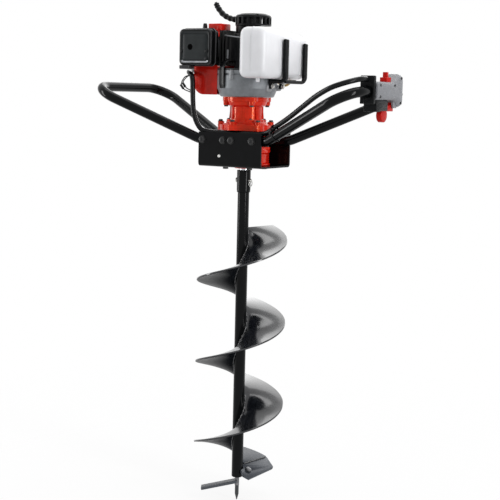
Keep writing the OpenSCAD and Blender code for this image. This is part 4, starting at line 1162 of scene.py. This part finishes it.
def make_conduit():
    path = below_axis((
        (-75, 66, 25), (-96, 66, 36), (-118, 58, 46), (-130, 40, 48), (-133, 10, 48), (-131, -20, 50),
        (-122, -46, 54), (-106, -60, 60), (-102, -61, 72), (-101, -61, 92), (-100, -61, 116),
        (-98, -60, 142), (-93, -56, 164), (-83, -51, 180)))
    path.append((-68, -TUBE_Y, TUBE_Z + LAY + 1.5))
    path += [(x, -TUBE_Y, TUBE_Z + LAY) for x in (-48, -20, 10, 40, LEG_X - 14)]
    path += [on_leg(distance, rise) for distance, rise in (
        (12, 1.5), (40, 2.5), (70, 3), (100, 4.5), (145, 8.5), (190, 12))]
    at_grip = (
        (53, -121, 5.5), (28, -119, 14.5), (12, -107, 20.5), (3, -90, 24.5), (0, -74, 25.5), (0, -60.1, 25.5))
    path += [(GRIP_X - back, y, GRIP_Z + rise) for back, y, rise in at_grip]
    conduit = sweep(spline(path, 6), CONDUIT_R, 20)
    piece("conduit", conduit, "black_rubber", "throttle_conduit")
    centre = LEG_START + LEG_WAY * TIE_PLACE + LEG_UP * 6.5
    across = LEG_WAY.cross(LEG_UP)
    corners = ((-11.7, -18.2), (11.7, -18.2), (11.7, 5), (5.4, 17.8), (-5.4, 17.8), (-11.7, 5))
    loop = rounded([centre + across * a + LEG_UP * b for a, b in corners], [11, 11, 8, 5, 5, 8], 5)
    band = ((0.5, -2.4), (0.5, 2.4), (-0.5, 2.4), (-0.5, -2.4))
    rings = []
    for p in loop:
        out = (p - centre).normalized()
        rings.append([p + out * a + LEG_WAY * b for a, b in band])
    lock = moved(block((-3, -3, 0), (3, 3, 4.5), 0.6), along(centre + across * 12, across))
    piece("cable_ties", [skin(rings, closed=True), lock], "black_plastic", angle=50)


# Studio, in metres and watts
WORLD_LIGHT = 0.36
FLOOR_R = 1.6
FLOOR_DROP = 0.001
FLOOR_GREY = 0.85
FLOOR_GLOW = 0.87
FADE_FROM = 0.45
FADE_TO = 1.5
WHITE = (1, 1, 1, 1)

# Name, place, aim, size and power of each lamp
LAMPS = (
    ("key", (-2.4, -1.3, 1.2), (0, 0, 1.2), (0.6, 2.2), 42),
    ("side", (2.6, -0.6, 1.25), (0, 0, 1.15), (0.45, 2.2), 46),
    ("top", (0.1, 0.3, 2.9), (0, 0, 0.9), (2.4, 1.6), 30),
    ("back", (-0.6, 2.5, 1.9), (0, 0, 0.9), (3.0, 2.0), 34),
)


def direct_rays(tree):
    """Output that is 1 for camera, glossy and transmission rays, and 0 for the light on the object."""
    path = add_node(tree, "LightPath")
    found = path.outputs["Is Camera Ray"]
    for ray in ("Is Glossy Ray", "Is Transmission Ray"):
        either = add_node(tree, "Math")
        either.operation = "MAXIMUM"
        tree.links.new(found, either.inputs[0])
        tree.links.new(path.outputs[ray], either.inputs[1])
        found = either.outputs[0]
    return found


def mixed(tree, share, first, second):
    mix = add_node(tree, "MixShader")
    for source, target in zip((share, first, second), mix.inputs):
        tree.links.new(source, target)
    return mix.outputs[0]


def make_world():
    world = bpy.data.worlds.new("studio")
    scene.world = world
    world.use_nodes = True
    tree = world.node_tree
    tree.nodes.clear()
    out = add_node(tree, "OutputWorld")
    lit = add_node(tree, "Background", Color=WHITE, Strength=WORLD_LIGHT)
    seen = add_node(tree, "Background", Color=WHITE, Strength=1.0)
    tree.links.new(mixed(tree, direct_rays(tree), lit.outputs[0], seen.outputs[0]), out.inputs["Surface"])


def floor_material():
    """White where it is seen, apart from a soft shadow, and clear towards its edge."""
    material = bpy.data.materials.new("pale_floor")
    material.use_nodes = True
    tree = material.node_tree
    tree.nodes.clear()
    link = tree.links.new
    out = add_node(tree, "OutputMaterial")
    matt = add_node(tree, "BsdfDiffuse", Color=(FLOOR_GREY, FLOOR_GREY, FLOOR_GREY, 1))
    glow = add_node(tree, "Emission", Strength=1.0)
    clear = add_node(tree, "BsdfTransparent")
    share = add_node(tree, "Math")
    share.operation = "MULTIPLY"
    share.inputs[1].default_value = FLOOR_GLOW
    link(direct_rays(tree), share.inputs[0])
    both = mixed(tree, share.outputs[0], matt.outputs[0], glow.outputs[0])
    where = add_node(tree, "TexCoord")
    distance = add_node(tree, "VectorMath")
    distance.operation = "LENGTH"
    link(where.outputs["Object"], distance.inputs[0])
    fade = add_node(tree, "MapRange", **{"From Min": FADE_FROM, "From Max": FADE_TO})
    link(distance.outputs["Value"], fade.inputs["Value"])
    link(mixed(tree, fade.outputs["Result"], both, clear.outputs[0]), out.inputs["Surface"])
    return material


def make_floor():
    bm = bmesh.new()
    bmesh.ops.create_circle(bm, cap_ends=True, segments=96, radius=FLOOR_R)
    floor = mesh_of(moved(bm, at(0, 0, -FLOOR_DROP)), "floor")
    floor.materials.append(floor_material())
    ob = add_object("floor", floor)


def make_lamps():
    for name, place, aim, size, power in LAMPS:
        data = bpy.data.lights.new(name, "AREA")
        data.shape = "RECTANGLE"
        data.size, data.size_y = size
        data.energy = power
        lamp = add_object(name, data)
        lamp.location = place
        lamp.rotation_euler = (Vector(aim) - Vector(place)).to_track_quat("-Z", "Y").to_euler()


def finish_nodes():
    """Better materials on the CAD nodes that stay in view."""
    slots = {row["node"]: row["material_slot"] for row in frame["record"]["subparts"]}
    for name, ob in nodes.items():
        if not ob.hide_render:
            ob.data.materials.clear()
            ob.data.materials.append(MATERIALS[slots[name]])


make_camera()
make_bit()
make_frame()
make_handles()
make_gear_case()
make_gear_mid()
make_gear_cover()
make_clutch_housing()
make_fan_case()
make_muffler()
make_tank()
make_guard()
make_starter()
make_pull()
make_engine_rest()
make_small_parts()
make_throttle()
make_conduit()
make_world()
make_floor()
make_lamps()
finish_nodes()
scene.view_settings.view_transform = "Standard"
